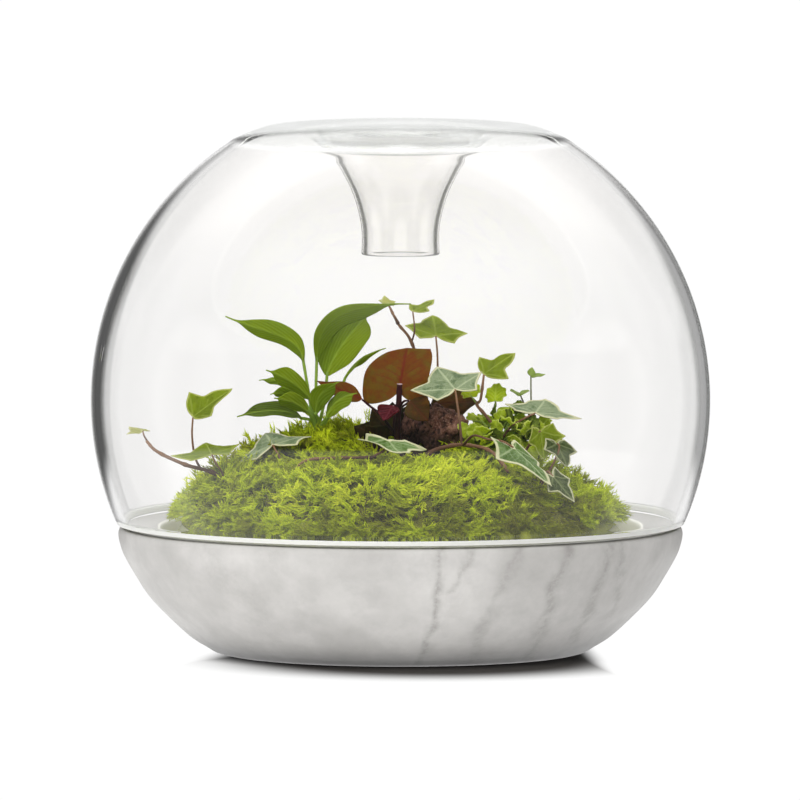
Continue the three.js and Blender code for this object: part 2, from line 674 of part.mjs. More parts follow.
// Moss with its tufts: in a jittered net of triangles, one corner in three stands out along the
// slope's normal, ringed by six low ones
function mossWithTufts() {
  const random = seededRandom(7);
  const { rings, sides } = MOSS_NET;
  const place = (ring, side) => {
    const wobble = ring === 0 ? 0 : (random() - 0.5) * MOSS_NET.wobble;
    const angle = (2 * Math.PI * (side - ring / 2 + wobble)) / sides;
    const spread = ring === rings ? 0 : (random() - 0.5) * MOSS_NET.spread;
    const radius = (mossReach(angle) * (ring + (ring === 0 ? 0 : spread))) / rings;
    const [x, y] = [radius * Math.cos(angle), radius * Math.sin(angle)];
    const slopeX = (mossHeight(x + 1, y) - mossHeight(x - 1, y)) / 2;
    const slopeY = (mossHeight(x, y + 1) - mossHeight(x, y - 1)) / 2;
    const outward = new THREE.Vector3(-slopeX, -slopeY, 1).normalize();
    const isTip = (ring + side) % 3 === 0;
    const tuft = TUFTS.low + (TUFTS.high - TUFTS.low) * random();
    const stand = isTip ? tuft : -TUFTS.dip * random();
    const part = ring === rings ? TUFTS.atRim : 1;
    return new THREE.Vector3(x, y, mossHeight(x, y)).addScaledVector(outward, stand * part);
  };
  return mound(place, rings, sides, BELOW_MOSS);
}

// An upright prism over a wedge round the pocket's middle
function wedge(from, to) {
  const steps = 4;
  const shape = new THREE.Shape();
  shape.moveTo(GAP, 0);
  for (let i = 0; i <= steps; i++) {
    const degrees = from + PAD_JOINT / 2 + ((to - from - PAD_JOINT) * i) / steps;
    const angle = (degrees * Math.PI) / 180;
    shape.lineTo(PAST_ALL * Math.cos(angle), PAST_ALL * Math.sin(angle));
  }
  const geometry = new THREE.ExtrudeGeometry(shape, { depth: PAST_ALL, bevelEnabled: false });
  geometry.translate(POCKET.x, POCKET.y, 0);
  return solidOfGeometry(geometry);
}

// An upright prism over the bare pocket, with an uneven edge
function pocketPrism() {
  const shape = new THREE.Shape();
  const random = seededRandom(3);
  const sides = 22;
  for (let i = 0; i < sides; i++) {
    const angle = (2 * Math.PI * i) / sides;
    const wobble = 0.94 + 0.16 * random();
    const x = POCKET.x + POCKET.halfWidth * wobble * Math.cos(angle);
    const y = POCKET.y + POCKET.halfDepth * wobble * Math.sin(angle);
    if (i === 0) shape.moveTo(x, y);
    else shape.lineTo(x, y);
  }
  return solidOfGeometry(new THREE.ExtrudeGeometry(shape, { depth: PAST_ALL, bevelEnabled: false }));
}

// A rough stone: a ball of flat facets pushed in and out, cut level with the soil that it lies on
function stone({ at, size, seed }, ground) {
  const random = seededRandom(seed);
  const geometry = new THREE.IcosahedronGeometry(1, 2);
  geometry.deleteAttribute('normal');
  geometry.deleteAttribute('uv');
  const ball = mergeVertices(geometry, 1e-3);
  const position = ball.attributes.position;
  for (let i = 0; i < position.count; i++) {
    const rough = 1 + STONE_ROUGHNESS * (2 * random() - 1);
    const point = new THREE.Vector3().fromBufferAttribute(position, i).multiplyScalar(rough);
    point.multiply(vector(size)).add(vector(at));
    position.setXYZ(i, ...point.toArray());
  }
  return largestPiece(solidOfGeometry(ball).subtract(ground));
}

// A point part of the way from one to another
function between(from, to, part) {
  return vector(from).lerp(vector(to), part).toArray();
}

function peaceLily(grow = 0) {
  const [x, y, z] = LILY_CROWN;
  const solids = [tube(LILY_ROOT, grow)];
  LILY_LEAVES.forEach(({ stalk, rib, half }) => {
    const way = [[x, y, z - SEAT_DEPTH], ...stalk, rib[0], between(rib[0], rib[1], 0.12)];
    solids.push(tube({ radius: LILY_STALK_RADIUS, way }, grow, 4));
    solids.push(lanceBlade({ rib, half }, grow));
  });
  return joined(solids);
}

function smallLeafPlant(grow = 0) {
  const [x, y, z] = SMALL_CROWN;
  const { radius, bend, seat } = SMALL_STALK;
  const solids = [tube(SMALL_ROOT, grow)];
  SMALL_LEAVES.forEach((leaf) => {
    const [leafX, leafY, leafZ] = leaf.at;
    const middle = [(x + leafX) / 2, (y + leafY) / 2, z + (leafZ - z) * bend];
    const end = vector(leaf.at).addScaledVector(vector(leaf.along), 0.2).toArray();
    solids.push(tube({ radius, way: [[x, y, z - seat], middle, end] }, grow, 4));
    solids.push(blade(leaf, SCALLOPED_HALF, grow));
  });
  return joined(solids);
}

function seedling(grow = 0) {
  const solids = SEEDLING_STEM.map((stem) => tube(stem, grow));
  SEEDLING_LEAVES.forEach((leaf) => solids.push(blade(leaf, OVAL_HALF, grow)));
  return joined(solids);
}

function stemBundle(ways, grow = 0) {
  return joined(ways.map((way) => tube(way, grow)));
}

function redStalks(grow = 0) {
  return joined([stemBundle(RED_STALKS, grow), blade(RED_YOUNG_LEAF, OVAL_HALF, grow)]);
}

// ---- Assembly ----

const terrarium = new THREE.Group();
terrarium.name = 'glass_plant_terrarium';

function addPiece(name, solid, colour) {
  const [hex, roughness] = COLOURS[colour];
  const isGlass = colour === 'glass';
  const material = new THREE.MeshStandardMaterial({
    color: hex, roughness, metalness: 0, transparent: isGlass, opacity: isGlass ? 0.3 : 1,
  });
  const mesh = new THREE.Mesh(geometryOf(solid), material);
  mesh.name = name;
  terrarium.add(mesh);
}

const blades = {};
const bladeRoom = [];
Object.entries(IVY_BLADES).forEach(([name, leaf]) => {
  const { shape = IVY_HALF, colour } = leaf;
  blades[name] = [blade(leaf, shape), colour];
  bladeRoom.push(blade(leaf, shape, GAP));
});
Object.entries(RED_BLADES).forEach(([name, leaf]) => {
  blades[name] = [blade(leaf, leaf.shape), 'redLeaf'];
  bladeRoom.push(blade(leaf, leaf.shape, GAP));
});
const roomForBlades = joined(bladeRoom);

const stems = {};
const stemRoom = [peaceLily(GAP), smallLeafPlant(GAP), seedling(GAP), redStalks(GAP)];
Object.entries(IVY_STEMS).forEach(([name, ways]) => {
  stems[name] = largestPiece(stemBundle(ways).subtract(roomForBlades));
  stemRoom.push(stemBundle(ways, GAP));
});
const roomForStems = joined(stemRoom);

const ground = soilMound(GAP);
const stones = {};
Object.entries(STONES).forEach(([name, shape]) => {
  stones[name] = stone(shape, ground.add(roomForStems).add(roomForBlades));
});
const roomForStones = joined(Object.values(STONES).map((shape) => (
  stone({ ...shape, size: shape.size.map((half) => half + 2 * GAP) }, soilMound(-2))
)));

const moss = mossWithTufts().subtract(ground).subtract(pocketPrism())
  .subtract(roomForStems).subtract(roomForBlades).subtract(roomForStones);

addPiece('marble_base', marbleBase(), 'marble');
addPiece('glass_dome', glassDome(), 'glass');
addPiece('soil', soil(roomForStems), 'soil');
MOSS_PADS.forEach(([name, from, to]) => {
  addPiece(name, largestPiece(moss.intersect(wedge(from, to))), 'moss');
});
Object.entries(stones).forEach(([name, solid]) => addPiece(name, solid, 'rock'));
addPiece('peace_lily', peaceLily(), 'lily');
addPiece('red_plant_stalks', largestPiece(redStalks().subtract(roomForBlades)), 'redStalk');
Object.entries(blades).forEach(([name, [solid, colour]]) => addPiece(name, solid, colour));
Object.entries(stems).forEach(([name, solid]) => addPiece(name, solid, 'ivyStem'));
addPiece('small_leaf_plant', smallLeafPlant(), 'smallLeaf');
addPiece('seedling', seedling(), 'seedling');

export default terrarium;
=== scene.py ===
"""Looks of a glass plant terrarium: a turned marble bowl, a planted mound of moss and a blown dome.

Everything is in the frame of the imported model: metres, +Z up, +Y away from the front, with the
origin under the centre of the foot. Shapes are worked out in millimetres and scaled once, when a
piece is made. Materials read places in metres.
"""

import logging
import math
from dataclasses import dataclass, field
from enum import Enum
from typing import Any, Iterator, Sequence

import bmesh
import bpy
import numpy as np
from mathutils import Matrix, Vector, noise


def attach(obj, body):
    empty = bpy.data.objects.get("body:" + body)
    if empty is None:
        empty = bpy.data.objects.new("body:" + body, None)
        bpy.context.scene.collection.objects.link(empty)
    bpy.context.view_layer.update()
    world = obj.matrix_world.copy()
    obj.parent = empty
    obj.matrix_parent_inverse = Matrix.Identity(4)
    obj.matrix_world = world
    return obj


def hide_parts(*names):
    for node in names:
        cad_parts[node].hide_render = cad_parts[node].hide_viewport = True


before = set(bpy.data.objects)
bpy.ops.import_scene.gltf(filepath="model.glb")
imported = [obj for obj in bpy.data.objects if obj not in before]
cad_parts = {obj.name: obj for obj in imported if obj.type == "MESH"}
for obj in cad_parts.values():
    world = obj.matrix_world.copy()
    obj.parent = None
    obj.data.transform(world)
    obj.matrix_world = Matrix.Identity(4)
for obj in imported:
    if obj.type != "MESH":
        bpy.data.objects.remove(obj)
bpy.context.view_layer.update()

log = logging.getLogger("terrarium")

MM = 0.001
LEDGE = 61.0
Pair = tuple[float, float]
Triple = tuple[float, float, float]
Colour = tuple[float, float, float]
LeafPlace = tuple[Triple, Triple, Triple]
Shape = tuple[np.ndarray, list[np.ndarray]]


# ---- Shader expressions ----


class Signal:
    """The output of a node; arithmetic on it adds Math nodes."""

    def __init__(self, tree: "Tree", socket: bpy.types.NodeSocket) -> None:
        """Wrap one output socket of a tree."""
        self.tree = tree
        self.socket = socket

    def math(self, operation: str, *values: "Signal | float") -> "Signal":
        """Add a Math node.

        Args:
            operation: the Math node's operation.
            values: its inputs in order.

        Returns:
            The node's value.
        """
        return self.tree.node("ShaderNodeMath", {"operation": operation}, dict(enumerate(values)))

    def __add__(self, other: "Signal | float") -> "Signal":
        """Sum."""
        return self.math("ADD", self, other)

    __radd__ = __add__

    def __sub__(self, other: "Signal | float") -> "Signal":
        """Difference."""
        return self.math("SUBTRACT", self, other)

    def __rsub__(self, other: float) -> "Signal":
        """Difference from a number."""
        return self.math("SUBTRACT", other, self)

    def __mul__(self, other: "Signal | float") -> "Signal":
        """Product."""
        return self.math("MULTIPLY", self, other)

    __rmul__ = __mul__

    def __pow__(self, power: float) -> "Signal":
        """Power."""
        return self.math("POWER", self, power)

    def __abs__(self) -> "Signal":
        """Absolute value."""
        return self.math("ABSOLUTE", self)

    def sine(self) -> "Signal":
        """Sine of an angle in radians."""
        return self.math("SINE", self)

    def most(self, other: "Signal | float") -> "Signal":
        """The larger of two."""
        return self.math("MAXIMUM", self, other)

    def least(self, other: "Signal | float") -> "Signal":
        """The smaller of two."""
        return self.math("MINIMUM", self, other)

    def between(self, low: float, high: float) -> "Signal":
        """Rise smoothly from 0 to 1.

        Args:
            low: the value that gives 0.
            high: the value that gives 1; it may be the lower of the two.

        Returns:
            The smooth step.
        """
        settings = {"interpolation_type": "SMOOTHSTEP"}
        if low < high:
            return self.tree.node("ShaderNodeMapRange", settings, {0: self, 1: low, 2: high})
        return 1.0 - self.tree.node("ShaderNodeMapRange", settings, {0: self, 1: high, 2: low})


class Tree:
    """A node tree that is built from expressions."""

    def __init__(self, node_tree: bpy.types.NodeTree) -> None:
        """Start from an empty tree.

        Args:
            node_tree: the tree, which is emptied.
        """
        self.nodes = node_tree.nodes
        self.links = node_tree.links
        self.nodes.clear()

    def node(self, kind: str, settings: dict[str, Any], inputs: dict[Any, Any], output: Any = 0) -> Signal:
        """Add a node.

        Args:
            kind: the node's type.
            settings: its properties, with "stops" for a ramp, all set before the sockets.
            inputs: values or signals by the socket's name or number.
            output: the name or number of the output that is wanted.

        Returns:
            That output.
        """
        made = self.nodes.new(kind)
        for name, value in settings.items():
            if name == "stops":
                self._set_stops(made.color_ramp.elements, value)
            else:
                setattr(made, name, value)
        for key, value in inputs.items():
            if isinstance(value, Signal):
                self.links.new(value.socket, made.inputs[key])
            else:
                made.inputs[key].default_value = value
        return Signal(self, made.outputs[output])

    @staticmethod
    def _set_stops(elements: Any, stops: Sequence[tuple[float, Colour]]) -> None:
        """Set a ramp's stops.

        Args:
            elements: the ramp's elements.
            stops: the place and the colour of each stop.
        """
        while len(elements) < len(stops):
            elements.new(0.5)
        for element, (place, colour) in zip(elements, stops):
            element.position = place
            element.color = (*colour, 1.0)

    def mark(self, name: str) -> Signal:
        """Read a number that the mesh carries at each point."""
        return self.node("ShaderNodeAttribute", {"attribute_name": name}, {}, "Fac")

    def place(self) -> Signal:
        """The point's place on the object, in metres."""
        return self.node("ShaderNodeTexCoord", {}, {}, "Object")

    def axis(self, vector: Signal, name: str) -> Signal:
        """One axis, X, Y or Z, of a vector."""
        return self.node("ShaderNodeSeparateXYZ", {}, {0: vector}, name)

    def high(self) -> Signal:
        """The point's height, in metres."""
        return self.axis(self.place(), "Z")

    def out(self) -> Signal:
        """The point's distance from the Z axis, in metres."""
        x, y = (self.axis(self.place(), name) for name in "XY")
        return (x * x + y * y) ** 0.5

    def ray(self, name: str) -> Signal:
        """What the Light Path node says of the ray that arrives, by the name of its output."""
        return self.node("ShaderNodeLightPath", {}, {}, name)

    def grain(self, size: float, detail: float = 3.0, rough: float = 0.5) -> Signal:
        """Noise from 0 to 1.

        Args:
            size: width of its blotches, in millimetres.
            detail: how many finer layers it has.
            rough: how strong the finer layers are.

        Returns:
            The noise.
        """
        inputs = {"Vector": self.place(), "Scale": 1 / (size * MM), "Detail": detail, "Roughness": rough}
        return self.node("ShaderNodeTexNoise", {}, inputs, "Fac")

    def cells(self, size: float) -> Signal:
        """Distance to the edges of irregular cells, 0 on an edge, for cells of a size in millimetres."""
        inputs = {"Vector": self.place(), "Scale": 1 / (size * MM)}
        return self.node("ShaderNodeTexVoronoi", {"feature": "DISTANCE_TO_EDGE"}, inputs)

    def ramp(self, factor: Signal, *stops: tuple[float, Colour]) -> Signal:
        """Turn a number into a colour by stops of place and colour."""
        return self.node("ShaderNodeValToRGB", {"stops": stops}, {0: factor}, "Color")

    def blend(self, factor: "Signal | float", first: "Signal | Colour",
              second: "Signal | Colour") -> Signal:
        """Mix two colours.

        Args:
            factor: 0 for the first and 1 for the second.
            first: a colour.
            second: another colour.

        Returns:
            The mixed colour.
        """
        first, second = ((*c, 1.0) if isinstance(c, tuple) else c for c in (first, second))
        return self.node("ShaderNodeMix", {"data_type": "RGBA"}, {0: factor, 6: first, 7: second}, 2)

    def bump(self, height: Signal, depth: float, strength: float = 1.0) -> Signal:
        """Relief for a Principled shader's normal.

        Args:
            height: the relief, from 0 to 1.
            depth: how deep it is, in millimetres.
            strength: how much of it shows.

        Returns:
            The normal.
        """
        inputs = {"Height": height, "Distance": depth * MM, "Strength": strength}
        return self.node("ShaderNodeBump", {}, inputs)


class Paint(Tree):
    """One material: a Principled shader, and what is mixed with it."""

    def __init__(self, name: str) -> None:
        """Start a material with a Principled shader and nothing else.

        Args:
            name: the material's name.
        """
        self.material = bpy.data.materials.new(name)
        self.material.use_nodes = True
        super().__init__(self.material.node_tree)
        self.surface = self.node("ShaderNodeBsdfPrincipled", {}, {})

    def set(self, **sockets: Any) -> None:
        """Set the Principled shader's sockets.

        Args:
            sockets: values or signals by the socket's name, with _ for a space.
        """
        shader = self.nodes["Principled BSDF"]
        for name, value in sockets.items():
            socket = shader.inputs[name.replace("_", " ")]
            if isinstance(value, Signal):
                self.links.new(value.socket, socket)
            else:
                colour = socket.type == "RGBA" and len(value) == 3
                socket.default_value = (*value, 1.0) if colour else value

    def glow_through(self, share: float, colour: Colour) -> None:
        """Let light through, as a leaf does.

        Args:
            share: the part of the light that goes through.
            colour: the colour that it takes.
        """
        through = self.node("ShaderNodeBsdfTranslucent", {}, {"Color": (*colour, 1.0)})
        self.surface = self.node("ShaderNodeMixShader", {}, {0: share, 1: self.surface, 2: through})

    def finished(self) -> bpy.types.Material:
        """Link the surface to the output.

        Returns:
            The material.
        """
        output = self.nodes.new("ShaderNodeOutputMaterial")
        self.links.new(self.surface.socket, output.inputs["Surface"])
        return self.material


# ---- Geometry ----


def placed(name: str, data: Any) -> bpy.types.Object:
    """Put a mesh, a lamp or a camera into the scene.

    Args:
        name: the object's name.
        data: what it shows.

    Returns:
        The object.
    """
    made = bpy.data.objects.new(name, data)
    bpy.context.scene.collection.objects.link(made)
    return made


@dataclass
class Draft:
    """Points in millimetres, faces, and the numbers that each point carries, for one piece."""

    marks: tuple[str, ...] = ()
    points: list[np.ndarray] = field(default_factory=list)
    faces: list[np.ndarray] = field(default_factory=list)
    values: dict[str, list[np.ndarray]] = field(default_factory=dict)
    count: int = 0

    def add(self, shape: Shape, **values: "np.ndarray | float") -> None:
        """Add a body.

        Args:
            shape: its points, and its arrays of faces with 3 or 4 corners.
            values: a number or an array for each of the draft's marks.
        """
        points, faces = shape
        self.points.append(points)
        self.faces += [face + self.count for face in faces]
        for name in self.marks:
            value = np.broadcast_to(np.asarray(values[name], float), (len(points),))
            self.values.setdefault(name, []).append(value)
        self.count += len(points)

    def piece(self, name: str, material: bpy.types.Material, slot: str, *nodes: str) -> None:
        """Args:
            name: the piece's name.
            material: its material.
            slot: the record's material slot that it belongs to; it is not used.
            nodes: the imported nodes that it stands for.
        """
        mesh = bpy.data.meshes.new(name)
        points = np.concatenate(self.points) * MM
        mesh.vertices.add(len(points))
        mesh.vertices.foreach_set("co", points.astype(np.float32).ravel())
        corners = np.concatenate([face.ravel() for face in self.faces])
        sizes = np.concatenate([np.full(len(face), face.shape[1]) for face in self.faces])
        mesh.loops.add(len(corners))
        mesh.loops.foreach_set("vertex_index", corners.astype(np.int32))
        mesh.polygons.add(len(sizes))
        starts = np.concatenate([[0], np.cumsum(sizes)[:-1]])
        mesh.polygons.foreach_set("loop_start", starts.astype(np.int32))
        mesh.polygons.foreach_set("use_smooth", np.ones(len(sizes), bool))
        mesh.update(calc_edges=True)
        for mark, values in self.values.items():
            data = mesh.attributes.new(mark, "FLOAT", "POINT").data
            data.foreach_set("value", np.concatenate(values).astype(np.float32))
        mesh.materials.append(material)
        made = placed(name, mesh)
        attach(made, "root")
        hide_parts(*nodes)
        log.info("%s: %d points, %d faces", name, len(points), len(sizes))


def unit(vectors: np.ndarray) -> np.ndarray:
    """Vectors at length 1, along the last axis."""
    return vectors / np.maximum(np.linalg.norm(vectors, axis=-1, keepdims=True), 1e-9)


def smooth_way(knots: Sequence[Sequence[float]], per_span: int) -> np.ndarray:
    """A smooth line through knots.

    Args:
        knots: its knots, in two or three dimensions.
        per_span: points in each span between two knots.

    Returns:
        The line's points, from the first knot to the last.
    """
    known = np.asarray(knots, float)
    padded = np.vstack([2 * known[0] - known[1], known, 2 * known[-1] - known[-2]])
    part = np.linspace(0, 1, per_span, endpoint=False)[:, None]
    spans = []
    for a, b, c, d in zip(padded, padded[1:], padded[2:], padded[3:]):
        curve = 2 * b + (c - a) * part + (2 * a - 5 * b + 4 * c - d) * part**2
        spans.append((curve + (3 * b - a - 3 * c + d) * part**3) / 2)
    return np.vstack([*spans, known[-1:]])


def grid_faces(rows: int, columns: int, wrap: bool) -> np.ndarray:
    """Quads of a grid of points.

    Args:
        rows: rows of points.
        columns: points in a row.
        wrap: whether each row closes on itself.

    Returns:
        The quads, wound so that they face out of a tube whose rows turn to the left as they rise.
    """
    row, column = np.mgrid[0 : rows - 1, 0 : columns - (0 if wrap else 1)]
    here, beside = row * columns + column, row * columns + (column + 1) % columns
    return np.stack([here, beside, beside + columns, here + columns], -1).reshape(-1, 4)


def capped(rows: int, columns: int, start: int, end: int) -> list[np.ndarray]:
    """Faces of a tube that ends in two single points.

    Args:
        rows: rings of the tube.
        columns: points in a ring.
        start: number of the point before the first ring.
        end: number of the point after the last ring.

    Returns:
        The tube's quads and the triangles of its two ends.
    """
    here = np.arange(columns)
    beside = (here + 1) % columns
    last = (rows - 1) * columns
    first_cap = np.stack([np.full(columns, start), beside, here], -1)
    last_cap = np.stack([last + here, last + beside, np.full(columns, end)], -1)
    return [grid_faces(rows, columns, True), first_cap, last_cap]


def turned_rings(profile: np.ndarray, sides: int) -> np.ndarray:
    """Rings of points round the Z axis.

    Args:
        profile: radius and height of each ring.
        sides: points in a ring.

    Returns:
        The rings, one row for each point of the profile.
    """
    angle = np.linspace(0, 2 * math.pi, sides, endpoint=False)
    radius, height = profile[:, :1], profile[:, 1:]
    return np.stack([radius * np.cos(angle), radius * np.sin(angle), height + 0 * angle], -1)


def turned(profile: np.ndarray, sides: int) -> Shape:
    """Turn a profile round the Z axis.

    Args:
        profile: radius and height of each point, from one point on the axis to another.
        sides: points in a ring.

    Returns:
        The closed body; its profile goes from its foot outwards and up.
    """
    poles = np.array([[0, 0, profile[0, 1]], [0, 0, profile[-1, 1]]])
    points = np.vstack([turned_rings(profile[1:-1], sides).reshape(-1, 3), poles])
    count = len(points)
    return points, capped(len(profile) - 2, sides, count - 2, count - 1)


def turned_loop(profile: np.ndarray, sides: int) -> Shape:
    """Turn a closed profile that stays off the axis.

    Args:
        profile: radius and height of each point.
        sides: points in a ring.

    Returns:
        The closed body.
    """
    faces = grid_faces(len(profile) + 1, sides, True) % (len(profile) * sides)
    return turned_rings(profile, sides).reshape(-1, 3), [faces]


def tube(way: np.ndarray, radii: np.ndarray, sides: int = 10) -> Shape:
    """A round tube along a line.

    Args:
        way: the line's points.
        radii: the tube's radius at each of them.
        sides: points in a ring.

    Returns:
        The closed body.
    """
    tangents = unit(np.gradient(way, axis=0))
    across = np.cross(tangents[0], (0.3, 0.9, 0.1))
    sides_of = []
    for tangent in tangents:
        across = across - tangent * np.dot(across, tangent)
        across = unit(across)
        sides_of.append((across, np.cross(tangent, across)))
    frames = np.array(sides_of)
    angle = np.linspace(0, 2 * math.pi, sides, endpoint=False)
    circle = np.stack([np.cos(angle), np.sin(angle)], -1)
    rings = way[:, None] + radii[:, None, None] * np.einsum("sk,nkd->nsd", circle, frames)
    points = np.vstack([rings.reshape(-1, 3), way[:1], way[-1:]])
    return points, capped(len(way), sides, len(points) - 2, len(points) - 1)


def edge_faces(rim: np.ndarray, count: int) -> np.ndarray:
    """Quads round the edge of a body that is made of an upper and a lower sheet.

    Args:
        rim: numbers of the upper sheet's points round its edge.
        count: points in the upper sheet; the lower sheet's points follow in the same order.

    Returns:
        The quads.
    """
    following = np.roll(rim, -1)
    return np.stack([following, rim, rim + count, following + count], -1)


def slab(upper: np.ndarray, lower: np.ndarray) -> Shape:
    """A closed body between two grids of points, one over the other.

    Args:
        upper: rows of points of the top.
        lower: the same rows of the bottom.

    Returns:
        The closed body.
    """
    rows, columns = upper.shape[:2]
    count = rows * columns
    faces = grid_faces(rows, columns, False)
    number = np.arange(count).reshape(rows, columns)
    rim = np.concatenate([number[0, :-1], number[:-1, -1], number[-1, :0:-1], number[:0:-1, 0]])
    points = np.vstack([upper.reshape(-1, 3), lower.reshape(-1, 3)])
    return outward((points, [faces, faces[:, ::-1] + count, edge_faces(rim, count)]))


def level_points(x: np.ndarray, y: np.ndarray) -> np.ndarray:
    """Points at height 0 for places."""
    return np.stack([x, y, 0 * x], -1)


def wander(points: np.ndarray, size: float, seed: float = 0.0) -> np.ndarray:
    """Smooth noise from about -1 to 1 at points.

    Args:
        points: where it is read, in millimetres.
        size: width of its swells, in millimetres.
        seed: shifts it to another part of the noise.

    Returns:
        One number for each point.
    """
    flat = points.reshape(-1, 3) / size + seed
    values = [noise.noise(Vector(p)) for p in flat]
    return np.array(values).reshape(points.shape[:-1]) * 1.6


@dataclass(frozen=True)
class Layer:
    """A layer of smooth noise: its height, the width of its swells, and its part of the noise."""

    height: float
    size: float
    seed: float

    def at(self, points: np.ndarray) -> np.ndarray:
        """Its height at points, in millimetres."""
        return self.height * wander(points, self.size, self.seed)


def distance_to_way(points: np.ndarray, way: np.ndarray) -> np.ndarray:
    """Distance from each point to a line of straight stretches.

    Args:
        points: the points.
        way: the line's points, in as many dimensions.

    Returns:
        The least distance for each point.
    """
    nearest = np.full(len(points), np.inf)
    for start, end in zip(way, way[1:]):
        along = end - start
        part = np.clip((points - start) @ along / max(along @ along, 1e-9), 0, 1)
        nearest = np.minimum(nearest, np.linalg.norm(points - start - part[:, None] * along, axis=1))
    return nearest


def outward(shape: Shape) -> Shape:
    """Turn a closed body's faces outwards.

    Args:
        shape: the body, wound either way.

    Returns:
        The same body, wound outwards.
    """
    points, faces = shape
    volume = sum(
        np.einsum("nd,nd->", points[f[:, 0]], np.cross(points[f[:, k]], points[f[:, k + 1]]))
        for f in faces for k in range(1, f.shape[1] - 1)
    )
    return shape if volume > 0 else (points, [face[:, ::-1] for face in faces])


def ball(level: int) -> tuple[np.ndarray, np.ndarray]:
    """Points and triangles of a unit icosphere.

    Args:
        level: how often its triangles are halved.

    Returns:
        The points and the triangles.
    """
    made = bmesh.new()
    bmesh.ops.create_icosphere(made, subdivisions=level, radius=1.0)
    points = np.array([v.co for v in made.verts])
    faces = np.array([[v.index for v in f.verts] for f in made.faces])
    made.free()
    return points, faces


# ---- Studio ----


@dataclass(frozen=True)
class Band:
    """A soft stretch of a number: where it rises, where it falls again, and its strength."""

    rise: Pair
    fall: Pair
    strength: float = 1.0

    def at(self, value: Signal) -> Signal:
        """Its strength at a value, which is 0 outside the stretch."""
        return self.strength * value.between(*self.rise) * value.between(*self.fall)


@dataclass(frozen=True)
class Surround:
    """The world: white for the camera, soft light for surfaces, and a painted studio for the glass.

    Its stretches are those of the way that a ray goes, at length 1: to the right, away from the front
    or up. Those named counts are of the surfaces that the ray has met.
    """

    camera_level: float = 1.02
    lamp_levels: Triple = (0.22, 0.95, 0.45)
    lamp_above: Pair = (0.0, 0.9)
    lamp_behind: Pair = (-0.2, 0.9)
    shade_right: Pair = (0.1, 0.9)
    shade_low: Pair = (0.7, 0.2)
    shade_depth: float = 0.15
    wall: Band = Band((-0.2, -0.14), (0.27, 0.13))
    dark_strips: tuple[Band, ...] = (
        Band((-0.6, -0.5), (-0.15, -0.165), 0.62), Band((-0.6, -0.5), (-0.215, -0.235), 0.3),
        Band((0.2, 0.23), (0.6, 0.5), 0.55),
    )
    off_middle: Pair = (0.008, 0.09)
    off_middle_depth: float = 0.15
    table_bow: float = 0.025
    table_edge: Pair = (-0.238, -0.275)
    table_near: Pair = (0.35, 0.1)
    table_left: Pair = (-0.2, -0.9)
    table_levels: Pair = (0.62, 0.5)
    table_counts: tuple[Pair, Pair] = ((4.2, 3.8), (5.2, 5.8))
    studio_levels: Triple = (0.04, 1.06, 0.65)
    studio_ahead: Pair = (-0.05, 0.4)
    studio_above: Pair = (0.35, 0.8)
    flank: Pair = (0.7, 0.85)
    edge_strip: Band = Band((0.12, 0.16), (0.36, 0.3), 0.9)
    any_count: Pair = (0.4, 0.6)
    no_count: Pair = (0.6, 0.4)
    late_count: Pair = (5.3, 5.7)
    late_level: float = 1.16
    late_strip: Band = Band((0.6, 0.74), (0.95, 0.905), 1.06)

    def build(self) -> None:
        """Set up the world."""
        world = bpy.data.worlds.new("studio")
        bpy.context.scene.world = world
        world.use_nodes = True
        tree = Tree(world.node_tree)
        way = tree.node("ShaderNodeTexCoord", {}, {}, "Generated")
        right, away, up = (tree.axis(way, name) for name in "XYZ")
        camera, diffuse = tree.ray("Is Camera Ray"), tree.ray("Is Diffuse Ray")
        light = self._lamp(right, away, up)
        other = diffuse * light + (1.0 - diffuse) * self._studio(tree, right, away, up)
        strength = camera * self.camera_level + (1.0 - camera) * other
        shine = tree.node("ShaderNodeBackground", {}, {"Color": (1, 1, 1, 1), "Strength": strength})
        output = tree.nodes.new("ShaderNodeOutputWorld")
        tree.links.new(shine.socket, output.inputs["Surface"])

    def _lamp(self, right: Signal, away: Signal, up: Signal) -> Signal:
        """Soft light from above and from behind the object.

        Args:
            right: how far the ray goes to the right.
            away: how far it goes away from the front.
            up: how far it goes up.

        Returns:
            How bright it is.
        """
        base, above, behind = self.lamp_levels
        shade = self.shade_depth * right.between(*self.shade_right) * up.between(*self.shade_low)
        level = base + above * up.between(*self.lamp_above) + behind * away.between(*self.lamp_behind)
        return level * (1.0 - shade)

    def _studio(self, tree: Tree, right: Signal, away: Signal, up: Signal) -> Signal:
        """What the glass mirrors and bends into view: a white wall with dark gaps, and a table.

        Args:
            tree: the world's tree.
            right: how far the ray goes to the right.
            away: how far it goes away from the front.
            up: how far it goes up.

        Returns:
            How bright it is.
        """
        passed, bounced, depth = (tree.ray(f"{name} Depth") for name in ("Transmission", "Glossy", "Ray"))
        wall = 1.0 - self.wall.at(up) * sum(strip.at(right) for strip in self.dark_strips)
        wall = wall * (1.0 - self.off_middle_depth * abs(right).between(*self.off_middle))
        straight = passed.between(*self.any_count) * bounced.between(*self.no_count)
        ahead = away.most(straight * abs(away).most(abs(right).between(*self.flank)))
        table = (up - self.table_bow * right * right).between(*self.table_edge)
        table = table * away.between(*self.table_near)
        table = table * (self.table_levels[0] + self.table_levels[1] * right.between(*self.table_left))
        table = table * sum(depth.between(*count) for count in self.table_counts)
        base, front, above = self.studio_levels
        level = base + front * ahead.between(*self.studio_ahead) * wall
        level = level + above * up.between(*self.studio_above) + table
        edge = self.wall.at(up) * self.edge_strip.at(right) * passed.between(*self.no_count)
        level = level * (1.0 - edge)
        late = self.late_level - self.late_strip.at(abs(away).most(abs(right)))
        return level + passed.between(*self.late_count) * (late - level)


